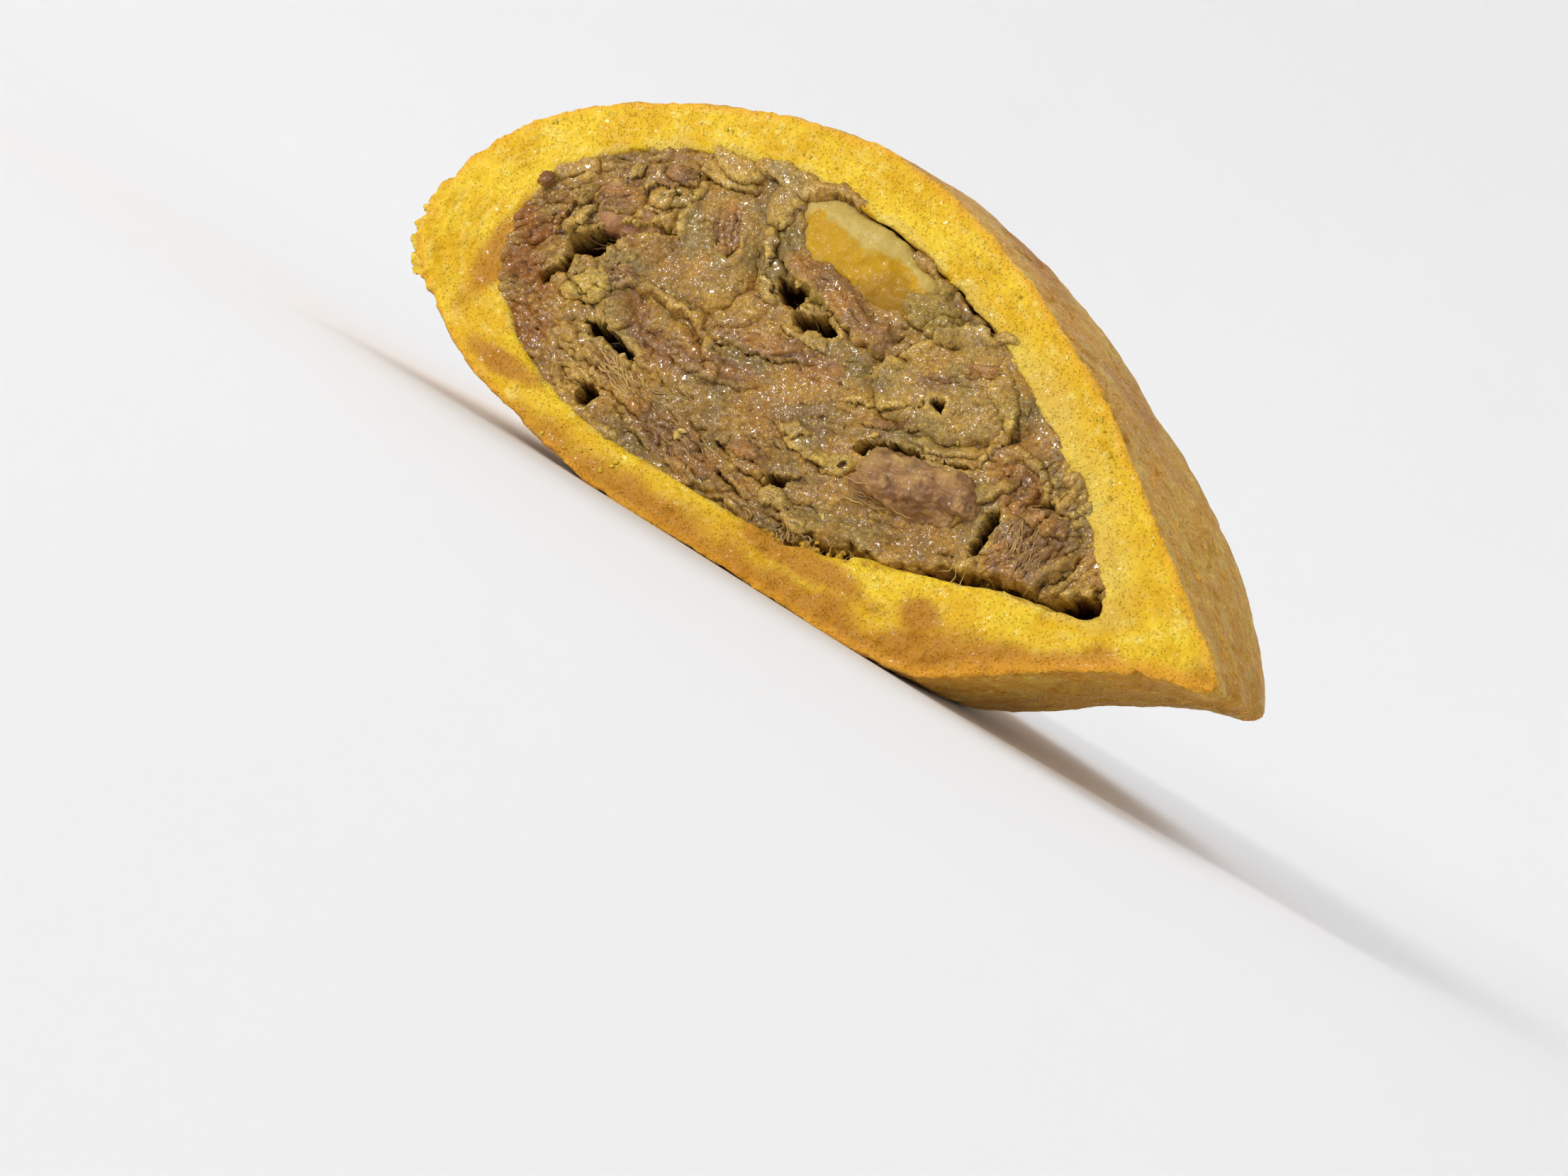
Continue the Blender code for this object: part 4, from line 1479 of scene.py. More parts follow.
@dataclass
class Filling:
    """The body of mash: a finely torn face on a plug that stands in the pocket."""

    torn: TornFace
    box: Box
    step: float = 0.117 * MM
    low: tuple[float, float] = (5.5 * MM, -8.5 * MM)
    high: tuple[float, float] = (65.0 * MM, 19.0 * MM)
    overlap: float = 1.0 * MM
    plug_depth: float = 9.0 * MM

    def build(self, material: bpy.types.Material) -> bpy.types.Object:
        """Makes the body of the filling.

        Args:
            material: The mash's finish.

        Returns:
            Its object.
        """
        work = bmesh.new()
        width, rise = self.high[0] - self.low[0], self.high[1] - self.low[1]
        bmesh.ops.create_grid(work, x_segments=round(width / self.step),
                              y_segments=round(rise / self.step), size=0.5)
        layers = {name: work.verts.layers.float.new(name) for name in MASH_VALUES}
        outside = []
        for vert in work.verts:
            x = self.low[0] + (vert.co.x + 0.5) * width
            up = self.low[1] + (vert.co.y + 0.5) * rise
            wall = self.torn.crust.wall_distance(x, up, 1.2 * MM)
            if wall < -4.5 * MM:
                outside.append(vert)
                continue
            spot = self.torn.spot(x, up, wall)
            if wall < -self.overlap and spot.wiped < 0.02:
                outside.append(vert)
                continue
            vert.co = Vector((x, spot.into, up))
            for name in MASH_VALUES:
                vert[layers[name]] = getattr(spot, name)
        bmesh.ops.delete(work, geom=outside, context="VERTS")
        self.paint_shade_and_highlights(work, layers)
        self.undercut(work)
        rim = [edge for edge in work.edges if edge.is_boundary]
        back = bmesh.ops.extrude_edge_only(work, edges=rim)["geom"]
        for vert in [item for item in back if isinstance(item, bmesh.types.BMVert)]:
            vert.co.y = self.plug_depth
        bmesh.ops.holes_fill(work, edges=[edge for edge in work.edges if edge.is_boundary], sides=0)
        work.transform(self.torn.crust.face.frame())
        bmesh.ops.recalc_face_normals(work, faces=work.faces)
        piece = finish_mesh("filling_mash", work, material, self.box)
        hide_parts("filling")
        return piece

    @staticmethod
    def paint_shade_and_highlights(work: bmesh.types.BMesh, layers: dict) -> None:
        """Paints shade into the hollows, darkening them, and paints highlights on the crests,
        paling them.

        Args:
            work: The face, in its own frame.
            layers: The finish values of its vertices.
        """
        for passes, low, high, painted_highlight in ((4, 0.015, 0.12, 0.22), (50, 0.06, 0.70, 0.20)):
            levels = [vert.co.y for vert in work.verts]
            relax(work, work.verts, passes, sideways=False)
            for vert, level in zip(work.verts, levels):
                dip = level - vert.co.y
                vert.co.y = level
                # Painted shade in the dips and painted highlights on the crests, found against the
                # smoothed face.
                painted_shade = smoothstep(low * MM, high * MM, dip)
                crest = smoothstep(low * MM, high * MM, -dip)
                vert[layers["deep"]] = min(vert[layers["deep"]] + 0.72 * painted_shade, 1.0)
                pale = min(vert[layers["pale"]] + painted_highlight * crest, 1.0)
                vert[layers["pale"]] = pale * (1.0 - 0.5 * painted_shade)

    @staticmethod
    def undercut(work: bmesh.types.BMesh) -> None:
        """Pushes the folds sideways over the hollows, so that they overhang.

        Args:
            work: The face, in its own frame.
        """
        work.normal_update()
        shifts = []
        for vert in work.verts:
            lean = Vector((vert.normal.x, 0.0, vert.normal.z))
            high = smoothstep(2.5 * MM, 0.0, vert.co.y)
            shifts.append(lean * high * (0.20 + 0.2 * grain(vert.co, 1.2 * MM, 5.0)) * MM)
        for vert, shift in zip(work.verts, shifts):
            place = vert.co.copy()
            wall = smoothstep(0.92, 0.45, abs(vert.normal.y))
            wall *= smoothstep(9.0 * MM, 4.5 * MM, place.y)
            shift.x += 0.42 * wall * grain(place, 0.8 * MM, 51.0) * MM
            shift.z += 0.42 * wall * grain(place, 0.8 * MM, 52.0) * MM
            vert.co += shift


class LumpFinish(Enum):
    """How a larger piece in the filling is surfaced."""

    FIBROUS = "fibrous"
    WAXY = "waxy"


@dataclass
class LargePiece:
    """A larger piece that shows in the torn face, made over its CAD shape."""

    source: bpy.types.Object
    name: str
    node: str
    slot: str
    face: CutFace
    box: Box
    surface: LumpFinish
    fibre_turn: float = 0.0
    flatten: float = 0.6
    sink: float = 0.0
    fit_x: float = 1.0
    fit_up: float = 1.0
    voxel: float = 0.15 * MM
    smoothing: int = 14

    def build(self, material: bpy.types.Material) -> bpy.types.Object:
        """Makes the piece.

        Args:
            material: Its finish.

        Returns:
            Its object.
        """
        work = evened(merged_copy(self.source), self.voxel)
        work.transform(self.face.frame().inverted())
        relax(work, work.verts, self.smoothing)
        layers = {name: work.verts.layers.float.new(name) for name in ("fibre", "edge", "tone")}
        low = Vector([min(vert.co[i] for vert in work.verts) for i in range(3)])
        high = Vector([max(vert.co[i] for vert in work.verts) for i in range(3)])
        middle = (low + high) / 2
        half = (high - low) / 2
        for vert in work.verts:
            if vert.co.y < middle.y:
                vert.co.y = middle.y + (vert.co.y - middle.y) * self.flatten + self.sink
            vert.co.x = low.x + (vert.co.x - low.x) * self.fit_x
            vert.co.z = low.z + (vert.co.z - low.z) * self.fit_up
        work.normal_update()
        form = self.fibrous if self.surface is LumpFinish.FIBROUS else self.waxy
        moved = []
        for vert in work.verts:
            share = Vector([(vert.co[i] - middle[i]) / half[i] for i in range(3)])
            out, values = form(vert.co, share)
            for name, value in values.items():
                vert[layers[name]] = value
            moved.append(vert.co + vert.normal * out)
        for vert, place in zip(work.verts, moved):
            vert.co = place
        work.transform(self.face.frame())
        piece = finish_mesh(self.name, work, material, self.box)
        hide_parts(self.node)
        return piece

    def fibrous(self, place: Vector, share: Vector) -> tuple[float, dict[str, float]]:
        """Shredded meat.

        Args:
            place: Place in the face's frame.
            share: The same place as shares of the piece's half sizes.

        Returns:
            How far it stands out there, in metres, and its finish values.
        """
        along, across = turned(place.x, place.z, math.radians(self.fibre_turn))
        across += 0.6 * MM * grain(place, 3.0 * MM, 3.0)
        lie = Vector((along / (3.4 * MM), across / (0.60 * MM), place.y / (0.9 * MM)))
        fine = Vector((along / (1.8 * MM), across / (0.24 * MM), place.y / (0.4 * MM)))
        strands = noise.noise(lie)
        threads = noise.noise(fine)
        layered = smoothstep(-0.1, 0.5, grain(place, 4.0 * MM, 19.0))
        out = (0.2 + 0.8 * layered) * (0.26 * strands + 0.13 * threads)
        out += 0.50 * grain(place, 2.4 * MM, 7.0) + 0.26 * grain(place, 1.0 * MM, 8.0)
        out += 0.13 * max(1.0 - abs(grain(place, 0.5 * MM, 9.0)) * 3.0, 0.0)
        split = smoothstep(0.36, 0.6, noise.noise(lie * 0.55 + Vector((4.0, 2.0, 9.0))))
        out -= 0.7 * split * layered
        # The edge value: paler fibre ends, and a painted highlight towards the top and upper left
        # of the piece.
        ends = smoothstep(0.45, 1.0, abs(share.x) + 0.3 * grain(place, 1.6 * MM, 9.0))
        top = smoothstep(0.1, 0.8, share.z - 0.55 * share.x + 0.5 * grain(place, 1.6 * MM, 6.0))
        pale = max(0.6 * ends, 0.75 * top) * smoothstep(-0.25, 0.25, grain(place, 2.2 * MM, 9.0))
        return out * MM, {"fibre": strands + 0.7 * threads - 0.6 * split, "edge": pale}

    def waxy(self, place: Vector, share: Vector) -> tuple[float, dict[str, float]]:
        """Boiled potato: pale on top, yellow, then olive below.

        Args:
            place: Place in the face's frame.
            share: The same place as shares of the piece's half sizes.

        Returns:
            How far it stands out there, in metres, and its finish values.
        """
        out = 0.36 * grain(place, 3.0 * MM, 2.0) + 0.18 * grain(place, 1.1 * MM, 4.0)
        out += 0.07 * grain(place, 0.4 * MM, 6.0)
        height = share.z + 0.16 * share.x + 0.30 * grain(place, 2.4 * MM, 8.0)
        height += 0.14 * grain(place, 0.8 * MM, 9.0)
        out += 0.30 * smoothstep(0.05, 0.40, height)
        upper = smoothstep(0.48, 0.02, height) * smoothstep(-0.80, -0.45, share.x + 0.3 * share.z)
        right = smoothstep(-0.15, 0.75, 0.9 * share.x - 0.45 * share.z)
        tone = 0.18 + 0.34 * upper + 0.42 * right * upper
        end = smoothstep(0.62, 0.95, share.x)
        tone = tone * (1.0 - end) + 0.24 * end
        return out * MM, {"tone": min(max(tone, 0.0), 1.0)}


class Heap:
    """Many small shapes joined into one piece, each shaped on its own first."""

    def __init__(self, values: tuple[str, ...]) -> None:
        """Starts an empty heap whose vertices keep the named values."""
        self.values = values
        self.work = bmesh.new()
        self.mesh = bpy.data.meshes.new("small_shape")
        self.balls: dict[int, bpy.types.Mesh] = {}
        for name in values:
            self.work.verts.layers.float.new(name)

    def fresh(self) -> tuple[bmesh.types.BMesh, dict]:
        """An empty small shape and its values."""
        small = bmesh.new()
        return small, {name: small.verts.layers.float.new(name) for name in self.values}

    def ball(self, fine: int) -> tuple[bmesh.types.BMesh, dict]:
        """A ball of radius 1.

        Args:
            fine: How finely it is divided.

        Returns:
            The ball and its values.
        """
        if fine not in self.balls:
            first, _ = self.fresh()
            bmesh.ops.create_icosphere(first, subdivisions=fine, radius=1.0)
            self.balls[fine] = bpy.data.meshes.new("ball")
            first.to_mesh(self.balls[fine])
            first.free()
        small = bmesh.new()
        small.from_mesh(self.balls[fine])
        return small, {name: small.verts.layers.float[name] for name in self.values}

    def add(self, small: bmesh.types.BMesh) -> None:
        """Adds a small shape to the heap and frees it."""
        small.to_mesh(self.mesh)
        small.free()
        self.work.from_mesh(self.mesh)

    def add_lump(self, middle: Vector, shape: Vector, spin: Matrix, values: dict[str, float],
                 fine: bool, seed: float, knobs: tuple[float, float, float]) -> None:
        """Adds one knobbly lump.

        Args:
            middle: Where it lies.
            shape: Its half sizes in metres.
            spin: How it is turned.
            values: Its finish values; those left out are 0.
            fine: Whether it has the smaller faces of a large lump.
            seed: Varies its knobs.
            knobs: Height of its broad and of its small knobs, and how close the small ones are.
        """
        small, layers = self.ball(3 if fine else 2)
        shift = Vector((seed, 0.0, 0.0))
        for vert in small.verts:
            knob = 1.0 + knobs[0] * noise.noise(vert.co * 1.3 + shift)
            knob += knobs[1] * noise.noise(vert.co * knobs[2] + shift)
            vert.co = middle + spin @ Vector([vert.co[i] * shape[i] * knob for i in range(3)])
            for name, value in values.items():
                vert[layers[name]] = value
        self.add(small)

    def done(self, frame: Matrix) -> bmesh.types.BMesh:
        """The finished heap, moved from the face's frame and without its helpers."""
        for mesh in [self.mesh, *self.balls.values()]:
            bpy.data.meshes.remove(mesh)
        self.work.transform(frame)
        return self.work


@dataclass(frozen=True)
class Thread:
    """A fibre or strand that lies on the torn face, in millimetres."""

    start: tuple[float, float]
    end: tuple[float, float]
    thick: float
    rise: float = 0.3
    bow: float = 0.0
    pale: float = 0.3


def bunch(start: tuple[float, float], end: tuple[float, float], count: int, spread: float,
          thick: float, seed: int, pale: float = 0.3, rise: float = 0.08) -> list[Thread]:
    """Threads that run roughly side by side.

    Args:
        start: Where the bunch starts, along and up the face in millimetres.
        end: Where it ends.
        count: How many threads.
        spread: Width of the bunch in millimetres.
        thick: Thickness of a thread in millimetres.
        seed: Picks their places.
        pale: How pale they are.
        rise: How far they stand over the mash, in millimetres.

    Returns:
        The threads.
    """
    pick = random.Random(seed)
    run = Vector((end[0] - start[0], end[1] - start[1]))
    side = Vector((-run.y, run.x)).normalized()
    threads = []
    for _ in range(count):
        shift = side * spread * pick.uniform(-0.5, 0.5)
        begin = pick.uniform(0.0, 0.6)
        far = pick.uniform(0.2, 0.5)
        first = Vector(start) + shift + run * begin
        last = Vector(start) + shift * pick.uniform(0.7, 1.2) + run * min(begin + far, 1.1)
        last += side * pick.uniform(-0.25, 0.25)
        threads.append(Thread(tuple(first), tuple(last), thick * pick.uniform(0.5, 1.3),
                              rise * pick.uniform(-0.5, 1.6), pick.uniform(-0.15, 0.15),
                              pale + pick.uniform(-0.25, 0.3)))
    return threads


@dataclass
class Shreds:
    """Loose fibres of meat: bunches where the meat tore, and single ones all over."""

    torn: TornFace
    box: Box
    sides: int = 6
    scattered: int = 90

    def threads(self) -> list[Thread]:
        """Every thread.

        Returns:
            The threads: large bunches, single ones with a place of their own, curls and strays.
        """
        all_threads = bunch((23.4, -3.2), (33.0, -5.2), 40, 2.6, 0.13, 1, pale=0.35)
        all_threads += bunch((19.0, -1.8), (24.6, -3.6), 44, 1.8, 0.13, 2, pale=0.8, rise=0.12)
        all_threads += bunch((35.6, -3.8), (39.2, -4.6), 22, 0.9, 0.12, 3, pale=0.9, rise=0.15)
        all_threads += bunch((54.4, 5.0), (55.6, -1.2), 34, 2.8, 0.13, 6, pale=0.35)
        all_threads += bunch((41.2, -1.0), (48.6, 0.4), 22, 2.4, 0.12, 8, pale=0.5, rise=0.9)
        all_threads += bunch((12.0, 4.6), (16.4, 8.0), 12, 1.4, 0.12, 9, pale=0.4)
        all_threads += [Thread((30.4, -6.4), (30.7, -7.8), 0.07, 0.5, 0.2, 1.0),
                        Thread((52.0, -1.9), (51.7, -3.6), 0.08, 0.5, 0.25, 1.0),
                        Thread((52.8, -1.9), (53.6, -3.4), 0.07, 0.6, -0.2, 1.0),
                        Thread((51.4, -1.6), (50.9, -2.8), 0.07, 0.5, 0.3, 1.0),
                        Thread((44.4, 2.6), (44.6, 3.5), 0.08, 0.6, 0.1, 1.0),
                        Thread((47.0, 3.0), (47.5, 3.9), 0.08, 0.6, 0.1, 1.0)]
        return all_threads + self.curls() + self.strays()

    @staticmethod
    def curls() -> list[Thread]:
        """Short curled fibres that hang along the filling's lower edge.

        Returns:
            The fibres.
        """
        pick = random.Random(21)
        curls = []
        for _ in range(90):
            x = pick.uniform(33.0, 51.0)
            up = -6.9 + 0.13 * (x - 33.0) + pick.uniform(-0.3, 0.7)
            angle = pick.uniform(-2.3, -0.3)
            far = pick.uniform(0.4, 1.2)
            end = (x + far * math.cos(angle), up + far * math.sin(angle))
            curls.append(Thread((x, up), end, pick.uniform(0.08, 0.15), pick.uniform(0.1, 0.5),
                                pick.uniform(-0.5, 0.5), pick.uniform(0.2, 0.8)))
        return curls

    def strays(self) -> list[Thread]:
        """Single short fibres over the whole face.

        Returns:
            The fibres.
        """
        pick = random.Random(31)
        strays = []
        while len(strays) < self.scattered:
            x, up = pick.uniform(9.0, 63.0), pick.uniform(-7.0, 17.0)
            if self.torn.crust.wall_distance(x * MM, up * MM) < 0.6 * MM:
                continue
            angle = -0.3 + 1.6 * noise.noise(Vector((x / 9.0, 0.0, up / 9.0)))
            angle += pick.gauss(0.0, 0.6)
            far = pick.uniform(0.4, 1.5)
            end = (x + far * math.cos(angle), up + far * math.sin(angle))
            strays.append(Thread((x, up), end, pick.uniform(0.06, 0.12), pick.uniform(-0.03, 0.06),
                                 pick.uniform(-0.3, 0.3), pick.uniform(0.1, 0.9)))
        return strays

    def build(self, material: bpy.types.Material) -> bpy.types.Object:
        """Makes the fibres as one piece.

        Args:
            material: The meat's finish.

        Returns:
            Its object.
        """
        heap = Heap(("fibre", "edge"))
        for number, thread in enumerate(self.threads()):
            self.add_thread(heap, thread, number)
        work = heap.done(self.torn.crust.face.frame())
        bmesh.ops.recalc_face_normals(work, faces=work.faces)
        piece = finish_mesh("meat_fibres", work, material, self.box)
        return piece

    def add_thread(self, heap: Heap, thread: Thread, number: int) -> None:
        """Adds one thread: a tube that follows the torn face and tapers to its ends.

        Args:
            heap: The fibres so far, in the face's frame.
            thread: The thread.
            number: Its number, which varies its wander.
        """
        first, last = Vector(thread.start), Vector(thread.end)
        run = last - first
        side = Vector((-run.y, run.x))
        steps = max(4, round(run.length / 0.22))
        path = []
        for step in range(steps + 1):
            share = step / steps
            sway = noise.noise(Vector((share * 3.0, number * 1.7, 0.0)))
            aside = thread.bow * 4.0 * share * (1.0 - share) + 0.12 * sway
            flat = first + run * share + side * aside
            into = self.torn.spot(flat.x * MM, flat.y * MM, 3.0 * MM).into
            path.append(Vector((flat.x * MM, min(into, 2.6 * MM), flat.y * MM)))
        for _ in range(3):
            levels = [spot.y for spot in path]
            for step in range(1, steps):
                path[step].y = (levels[step - 1] + 2.0 * levels[step] + levels[step + 1]) / 4.0
        small, layers = heap.fresh()
        bmesh.ops.create_grid(small, x_segments=self.sides, y_segments=steps, size=0.5)
        across = Vector((side.x, 0.0, side.y)).normalized()
        for vert in small.verts:
            share = vert.co.y + 0.5
            turn = (vert.co.x + 0.5) * 2.0 * math.pi
            middle = path[round(share * steps)]
            taper = math.sin(math.pi * min(max(share, 0.03), 0.97)) ** 0.5
            bulge = Vector((share * run.length * 1.6, turn / 2.0, number * 3.1))
            knob = 1.0 + 0.3 * noise.noise(bulge)
            radius = 0.5 * thread.thick * MM * taper * knob
            ring = across * math.cos(turn) + Vector((0.0, 1.0, 0.0)) * math.sin(turn)
            vert.co = middle + ring * radius - Vector((0.0, thread.rise * MM, 0.0))
            vert[layers["fibre"]] = noise.noise(Vector((turn, number * 5.0, share)))
            vert[layers["edge"]] = min(max(thread.pale, 0.0), 1.0)
        bmesh.ops.remove_doubles(small, verts=small.verts, dist=0.001 * MM)
        heap.add(small)


@dataclass(frozen=True)
class Bit:
    """One bit with its own place, in millimetres on the face."""

    x: float
    up: float
    size: float
    stretch: float = 1.0
    turn: float = 0.0
    out: float = 0.2
    meat: float = 0.0
    pale: float = 0.0
    oily: float = 0.0
    deep: float = 0.0


BITS: tuple[Bit, ...] = (
    Bit(7.4, 7.0, 0.62, 1.1, 20, 0.75, meat=1.0, oily=0.55, deep=0.30),
    Bit(28.4, -4.1, 0.34, 1.1, 60, 0.35, pale=1.0),
    Bit(28.7, -3.7, 0.24, 1.4, 20, 0.35, pale=1.0),
    Bit(32.5, 15.2, 0.30, 1.9, 80, 0.05, deep=0.9),
    Bit(35.9, 9.7, 0.20, 1.2, 0, 0.05, deep=0.8),
    Bit(40.3, 0.1, 0.22, 1.5, 60, 0.2, deep=0.95),
    Bit(36.5, 5.0, 0.16, 1.2, 0, 0.05, deep=0.7),
    Bit(46.1, 3.7, 0.26, 1.3, 60, 0.25, pale=1.0),
    Bit(41.1, 3.1, 0.26, 1.3, 40, 0.25, pale=1.0),
    Bit(10.6, 4.3, 0.26, 1.6, 40, 0.1, deep=0.8),
)


@dataclass
class Grains:
    """Loose grains, torn flakes and single bits on the torn face."""

    torn: TornFace
    box: Box
    count: int = 190

    def build(self, material: bpy.types.Material) -> bpy.types.Object:
        """Makes the grains as one piece.

        Args:
            material: The mash's finish.

        Returns:
            Its object.
        """
        pick = random.Random(5)
        heap = Heap(MASH_VALUES)
        for bit in BITS:
            spot = self.torn.spot(bit.x * MM, bit.up * MM, 3.0 * MM)
            middle = Vector((bit.x, min(spot.into / MM, 0.6) - bit.out, bit.up)) * MM
            shape = Vector((bit.stretch, 0.7, 1.0 / bit.stretch)) * bit.size * MM
            spin = Matrix.Rotation(math.radians(-bit.turn), 3, "Y")
            values = {"meat": bit.meat, "pale": bit.pale, "oily": bit.oily, "deep": bit.deep}
            self.add_grain(heap, middle, shape, spin, values, pick)
        made = 0
        while made < self.count:
            x, up = pick.uniform(8.5, 64.0) * MM, pick.uniform(-7.5, 18.0) * MM
            wall = self.torn.crust.wall_distance(x, up)
            if wall < 0.1 * MM:
                continue
            spot = self.torn.spot(x, up, wall)
            if spot.deep > 0.6 or spot.potato > 0.6:
                continue
            self.scatter(heap, Vector((x, spot.into, up)), spot, pick)
            made += 1
        work = heap.done(self.torn.crust.face.frame())
        piece = finish_mesh("mash_grains", work, material, self.box)
        return piece

    def scatter(self, heap: Heap, place: Vector, spot: Spot, pick: random.Random) -> None:
        """Adds one grain or flake at a place on the face.

        Args:
            heap: The grains so far.
            place: The face there.
            spot: What it is like.
            pick: Random numbers.
        """
        spin = Matrix.Rotation(pick.uniform(0.0, math.pi), 3, "Y")
        pale = min(spot.pale + max(pick.gauss(0.15, 0.3), 0.0), 1.0)
        lean = min(max(spot.meat + pick.gauss(-0.1, 0.25), 0.0), 1.0)
        values = {"meat": lean, "pale": pale, "potato": 0.0}
        if pick.random() < 0.25:
            size = min(max(pick.lognormvariate(-1.1, 0.3), 0.22), 0.5) * MM
            shape = Vector((1.1, pick.uniform(0.22, 0.4), pick.uniform(0.5, 0.9))) * size
            spin = spin @ Matrix.Rotation(pick.gauss(0.0, 0.3), 3, "X")
            middle = place + Vector((0.0, 0.10 * size, 0.0))
        else:
            size = min(max(pick.lognormvariate(-1.9, 0.3), 0.09), 0.24) * MM
            shape = Vector((pick.uniform(0.8, 1.4), 0.8, pick.uniform(0.7, 1.1))) * size
            middle = place - Vector((0.0, size * pick.uniform(-0.2, 0.4), 0.0))
        self.add_grain(heap, middle, shape, spin, values, pick)

    @staticmethod
    def add_grain(heap: Heap, middle: Vector, shape: Vector, spin: Matrix,
                  values: dict[str, float], pick: random.Random) -> None:
        """Adds one knobbly grain.

        Args:
            heap: The grains so far, in the face's frame.
            middle: Where the grain lies.
            shape: Its half sizes in metres.
            spin: How it is turned.
            values: Its finish values; those left out are 0.
            pick: Random numbers.
        """
        heap.add_lump(middle, shape, spin, values, max(shape) > 0.3 * MM,
                      pick.uniform(0.0, 90.0), (0.55, 0.28, 3.2))


@dataclass
class DoughCrumbs:
    """Torn crumbs and flaps of dough along the edges of the cut."""

    torn: TornFace
    box: Box

    def places(self) -> list[tuple[float, float, float, float, float]]:
        """Places and sizes of the crumbs.

        Returns:
            Along the cut, up the face, how far in, how large (in millimetres), and how flat.
        """
        pick = random.Random(8)
        spots = []
        for x, up, size in ((0.25, 0.9, 0.4), (0.45, -0.5, 0.5), (1.3, -1.9, 0.5), (2.1, -2.9, 0.5),
                            (2.7, -3.6, 0.4)):
            spots.append((x, up, pick.uniform(0.2, 0.5), size, 0.14))
        for _ in range(50):
            x = pick.uniform(31.0, 46.0)
            up = -8.1 + 0.20 * (x - 32.7) + pick.gauss(0.0, 0.3)
            spots.append((x, up, pick.uniform(-0.02, 0.3), pick.uniform(0.12, 0.32), 0.3))
        for _ in range(70):
            x = pick.gauss(55.5, 2.6)
            up = -7.2 + 0.46 * (x - 56.0) + pick.gauss(0.0, 0.5)
            spots.append((x, up, pick.uniform(-0.06, 0.1), pick.uniform(0.10, 0.32), 0.3))
        for _ in range(50):
            x = pick.uniform(18.0, 66.0)
            up = -8.9 + (0.36 * (x - 46.0) if x > 46.0 else 0.0) + pick.gauss(0.0, 0.5)
            spots.append((x, up, pick.uniform(-0.05, 0.1), pick.uniform(0.08, 0.22), 0.5))
        for _ in range(60):
            angle = pick.uniform(0.25, 2.7)
            spots.append((30.0 + 29.0 * math.cos(angle), 4.0 + 14.6 * math.sin(angle),
                          pick.uniform(-0.02, 0.08), pick.uniform(0.08, 0.18), 0.5))
        return spots

    def build(self, material: bpy.types.Material) -> bpy.types.Object:
        """Makes the crumbs as one piece.

        Args:
            material: The dough's finish.

        Returns:
            Its object.
        """
        pick = random.Random(9)
        heap = Heap(DOUGH_VALUES)
        for x, up, into, size, flat in self.places():
            shape = Vector((pick.uniform(0.9, 1.5), flat, pick.uniform(0.6, 1.1))) * size * MM
            spin = Matrix.Rotation(pick.uniform(-0.9, 0.9), 3, "Y")
            spin = spin @ Matrix.Rotation(pick.gauss(0.0, 0.35), 3, "X")
            seed = pick.uniform(0.0, 90.0)
            values = {"crumb": 1.0, "streak": pick.uniform(0.0, 0.7),
                      "stain": 0.75 if x > 30.0 and up < -3.0 else 0.1}
            heap.add_lump(Vector((x, into, up)) * MM, shape, spin, values, size > 0.3, seed,
                          (0.6, 0.3, 3.4))
        work = heap.done(self.torn.crust.face.frame())
        piece = finish_mesh("dough_crumbs", work, material, self.box)
        return piece


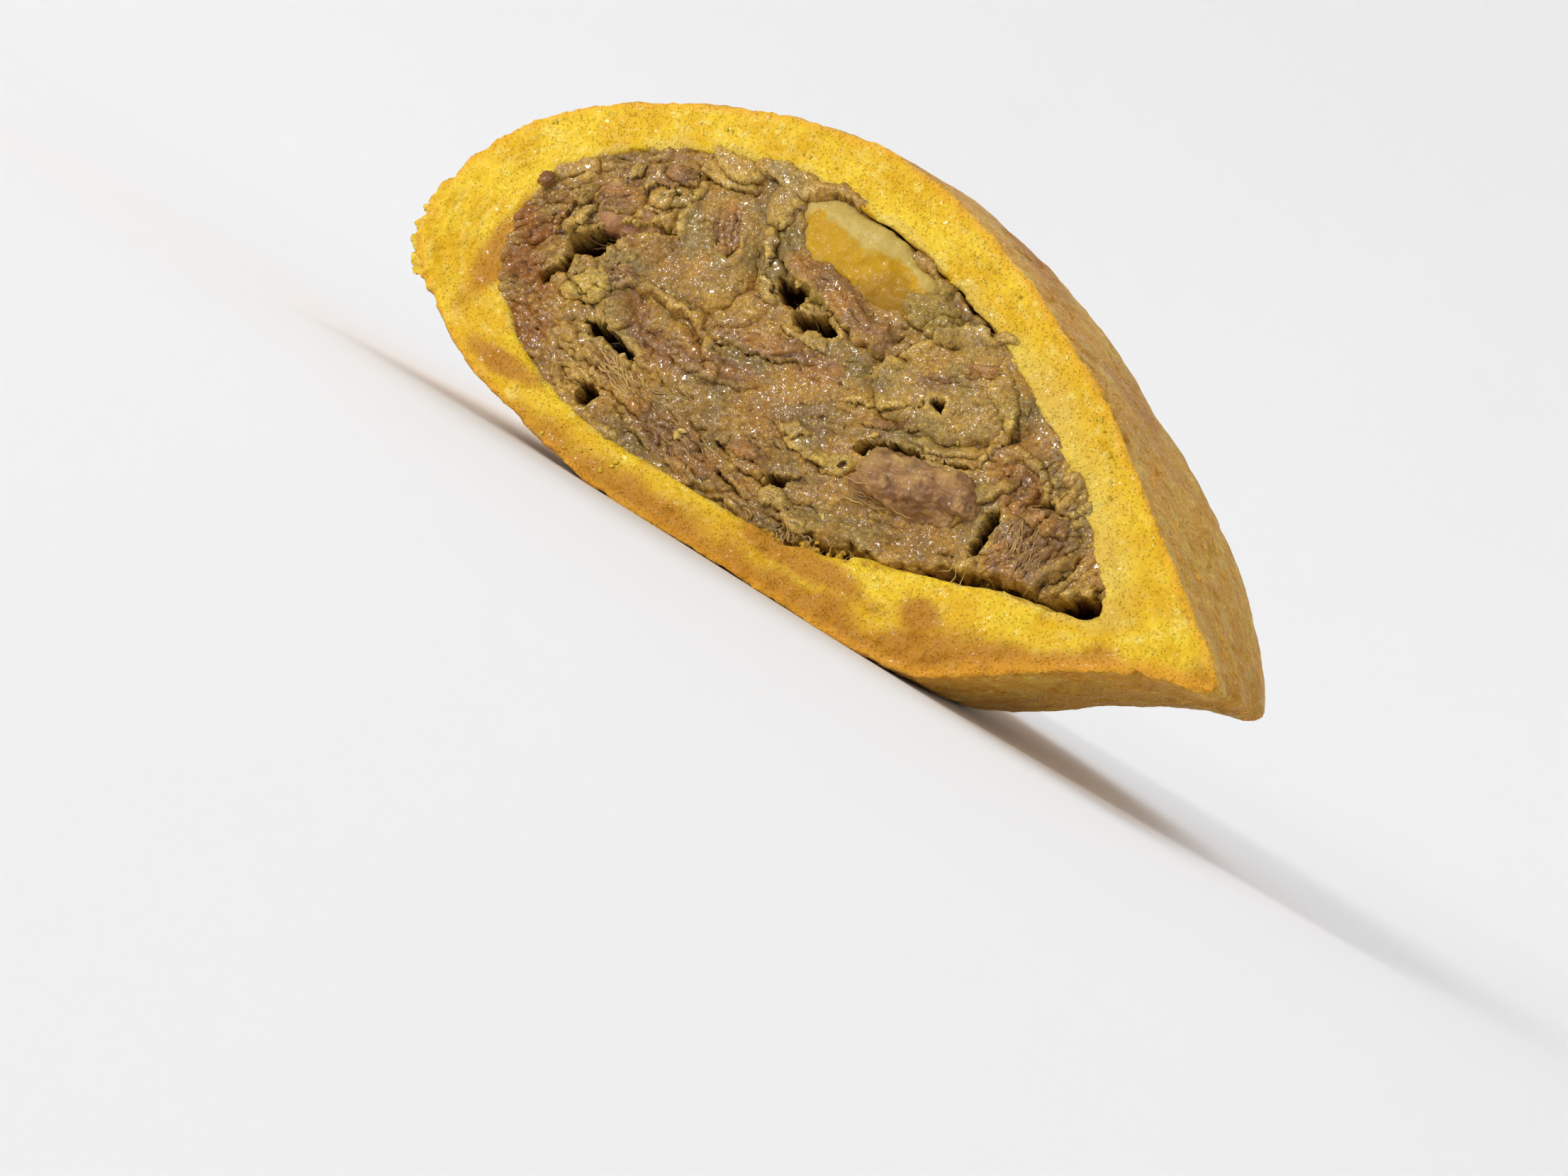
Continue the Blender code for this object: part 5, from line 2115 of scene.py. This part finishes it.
@dataclass
class Studio:
    """Floor, light and camera."""

    face: CutFace
    aim: tuple[float, float] = (42.15 * MM, -9.37 * MM)
    side: float = math.radians(25.3)
    height: float = math.radians(2.0)
    roll: float = math.radians(30.9)
    lens: float = 90.0
    distance: float = 270.0 * MM
    middle: Vector = field(default_factory=lambda: Vector((0.0, 0.0, 12.0 * MM)))
    floor_radius: float = 0.42
    rim_width: float = 0.30
    rim_rise: float = 0.42
    rim_steps: int = 14
    step_turn: float = 6.5

    def axes(self) -> tuple[Vector, Vector, Vector]:
        """Directions of the picture.

        Returns:
            The picture's right, its up, and the way to the camera.
        """
        back = Vector((math.sin(self.side) * math.cos(self.height),
                       -math.cos(self.side) * math.cos(self.height), math.sin(self.height)))
        level = Vector((0.0, 0.0, 1.0)).cross(back).normalized()
        upright = back.cross(level)
        right = math.cos(self.roll) * level + math.sin(self.roll) * upright
        return right, back.cross(right), back

    def build(self, floor: bpy.types.Material) -> None:
        """Sets up the floor, the lights and the camera.

        Args:
            floor: The floor's finish.
        """
        self.add_floor(floor)
        self.add_camera()
        right, up, back = self.axes()
        self.add_light("key", (-0.55 * right + 0.80 * up + 0.62 * back) * 0.62, 0.17, 2.5,
                       (1.0, 0.97, 0.93))
        self.add_light("front", (0.35 * right - 0.05 * up + 0.9 * back) * 0.8, 0.6, 0.4,
                       (1.0, 0.98, 0.96))
        self.add_light("top", Vector((-0.28, 0.50, 0.95)), 0.8, 4.3, (0.97, 0.98, 1.0))
        world = bpy.data.worlds.new("studio")
        bpy.context.scene.world = world
        world.use_nodes = True
        graph = Graph(world.node_tree)
        sky = world.node_tree.nodes["Background"]
        sky.inputs["Strength"].default_value = 0.41
        graph.feed(sky.inputs["Color"], (1.0, 1.0, 1.0))
        bpy.context.scene.view_settings.view_transform = "Standard"

    def add_floor(self, material: bpy.types.Material) -> None:
        """A level floor that rises all round to a rim, so that no view meets a horizon.

        Args:
            material: Its finish.
        """
        work = bmesh.new()
        bmesh.ops.create_circle(work, cap_ends=True, segments=96, radius=self.floor_radius)
        rim = [edge for edge in work.edges if edge.is_boundary]
        for step in range(self.rim_steps):
            turn = math.radians(self.step_turn * (step + 1))
            made = bmesh.ops.extrude_edge_only(work, edges=rim)["geom"]
            radius = self.floor_radius + self.rim_width * math.sin(turn)
            for vert in [item for item in made if isinstance(item, bmesh.types.BMVert)]:
                flat = Vector((vert.co.x, vert.co.y, 0.0)).normalized() * radius
                vert.co = Vector((flat.x, flat.y, self.rim_rise * (1.0 - math.cos(turn))))
            rim = [item for item in made
                   if isinstance(item, bmesh.types.BMEdge) and item.is_boundary]
        bmesh.ops.recalc_face_normals(work, faces=work.faces)
        mesh = bpy.data.meshes.new("floor")
        work.to_mesh(mesh)
        work.free()
        mesh.shade_smooth()
        mesh.materials.append(material)
        floor = bpy.data.objects.new("floor", mesh)
        bpy.context.scene.collection.objects.link(floor)
        floor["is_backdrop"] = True

    def add_camera(self) -> None:
        """The camera: low in front and to the right of the cut, rolled to the left."""
        right, up, back = self.axes()
        data = bpy.data.cameras.new("camera")
        data.lens = self.lens
        data.clip_start = 0.01
        camera = bpy.data.objects.new("camera", data)
        place = self.face.place(self.aim[0], 0.0, self.aim[1]) + back * self.distance
        turn = Matrix((right, up, back)).transposed().to_4x4()
        camera.matrix_world = Matrix.Translation(place) @ turn
        bpy.context.scene.collection.objects.link(camera)
        bpy.context.scene.camera = camera

    def add_light(self, name: str, way: Vector, size: float, power: float, colour: Colour) -> None:
        """A square soft light that points at the middle of the food.

        Args:
            name: Its name.
            way: Where it hangs, from the middle of the food, in metres.
            size: Its width in metres.
            power: Its power in watts.
            colour: Its colour.
        """
        data = bpy.data.lights.new(name, "AREA")
        data.size = size
        data.energy = power
        data.color = colour
        light = bpy.data.objects.new(name, data)
        light.location = self.middle + way
        light.rotation_euler = way.to_track_quat("Z", "Y").to_euler()
        bpy.context.scene.collection.objects.link(light)


def main() -> None:
    """Builds the dressed half empanada and its studio."""
    logging.basicConfig(level=logging.INFO, format="%(name)s: %(message)s")
    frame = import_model()
    nodes = frame["nodes"]
    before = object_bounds()
    box = Box(Vector(before[0]), Vector(before[1]))
    face = CutFace.of_crust()
    effects = Effects()
    dough = DoughFinish().material(effects)
    mash_look = MashFinish().material(effects)
    meat_look = MeatFinish().material(effects)
    glossy_look = MeatFinish("meat_glossy", lean=(0.40, 0.20, 0.085), dark=(0.28, 0.115, 0.050),
                             pale=(0.55, 0.35, 0.12)).material(effects)
    potato_look = PotatoFinish().material(effects)
    crust = Crust(nodes["crust"], face, box)
    torn = TornFace(crust)
    crust.build(dough)
    Filling(torn, box).build(mash_look)
    LargePiece(nodes["potato_wedge"], "potato_flesh", "potato_wedge", "potato", face, box,
               LumpFinish.WAXY, flatten=0.36, sink=0.12 * MM).build(potato_look)
    LargePiece(nodes["meat_chunk_right"], "meat_right", "meat_chunk_right", "meat", face, box,
               LumpFinish.FIBROUS, fibre_turn=20.0, flatten=0.85, fit_x=0.88,
               fit_up=0.86).build(meat_look)
    LargePiece(nodes["meat_chunk_left"], "meat_left", "meat_chunk_left", "meat", face, box,
               LumpFinish.FIBROUS, fibre_turn=-25.0, flatten=0.55).build(glossy_look)
    Shreds(torn, box).build(meat_look)
    Grains(torn, box).build(mash_look)
    DoughCrumbs(torn, box).build(dough)
    Studio(face).build(FloorFinish().material(effects))


if __name__ == "__main__":
    main()
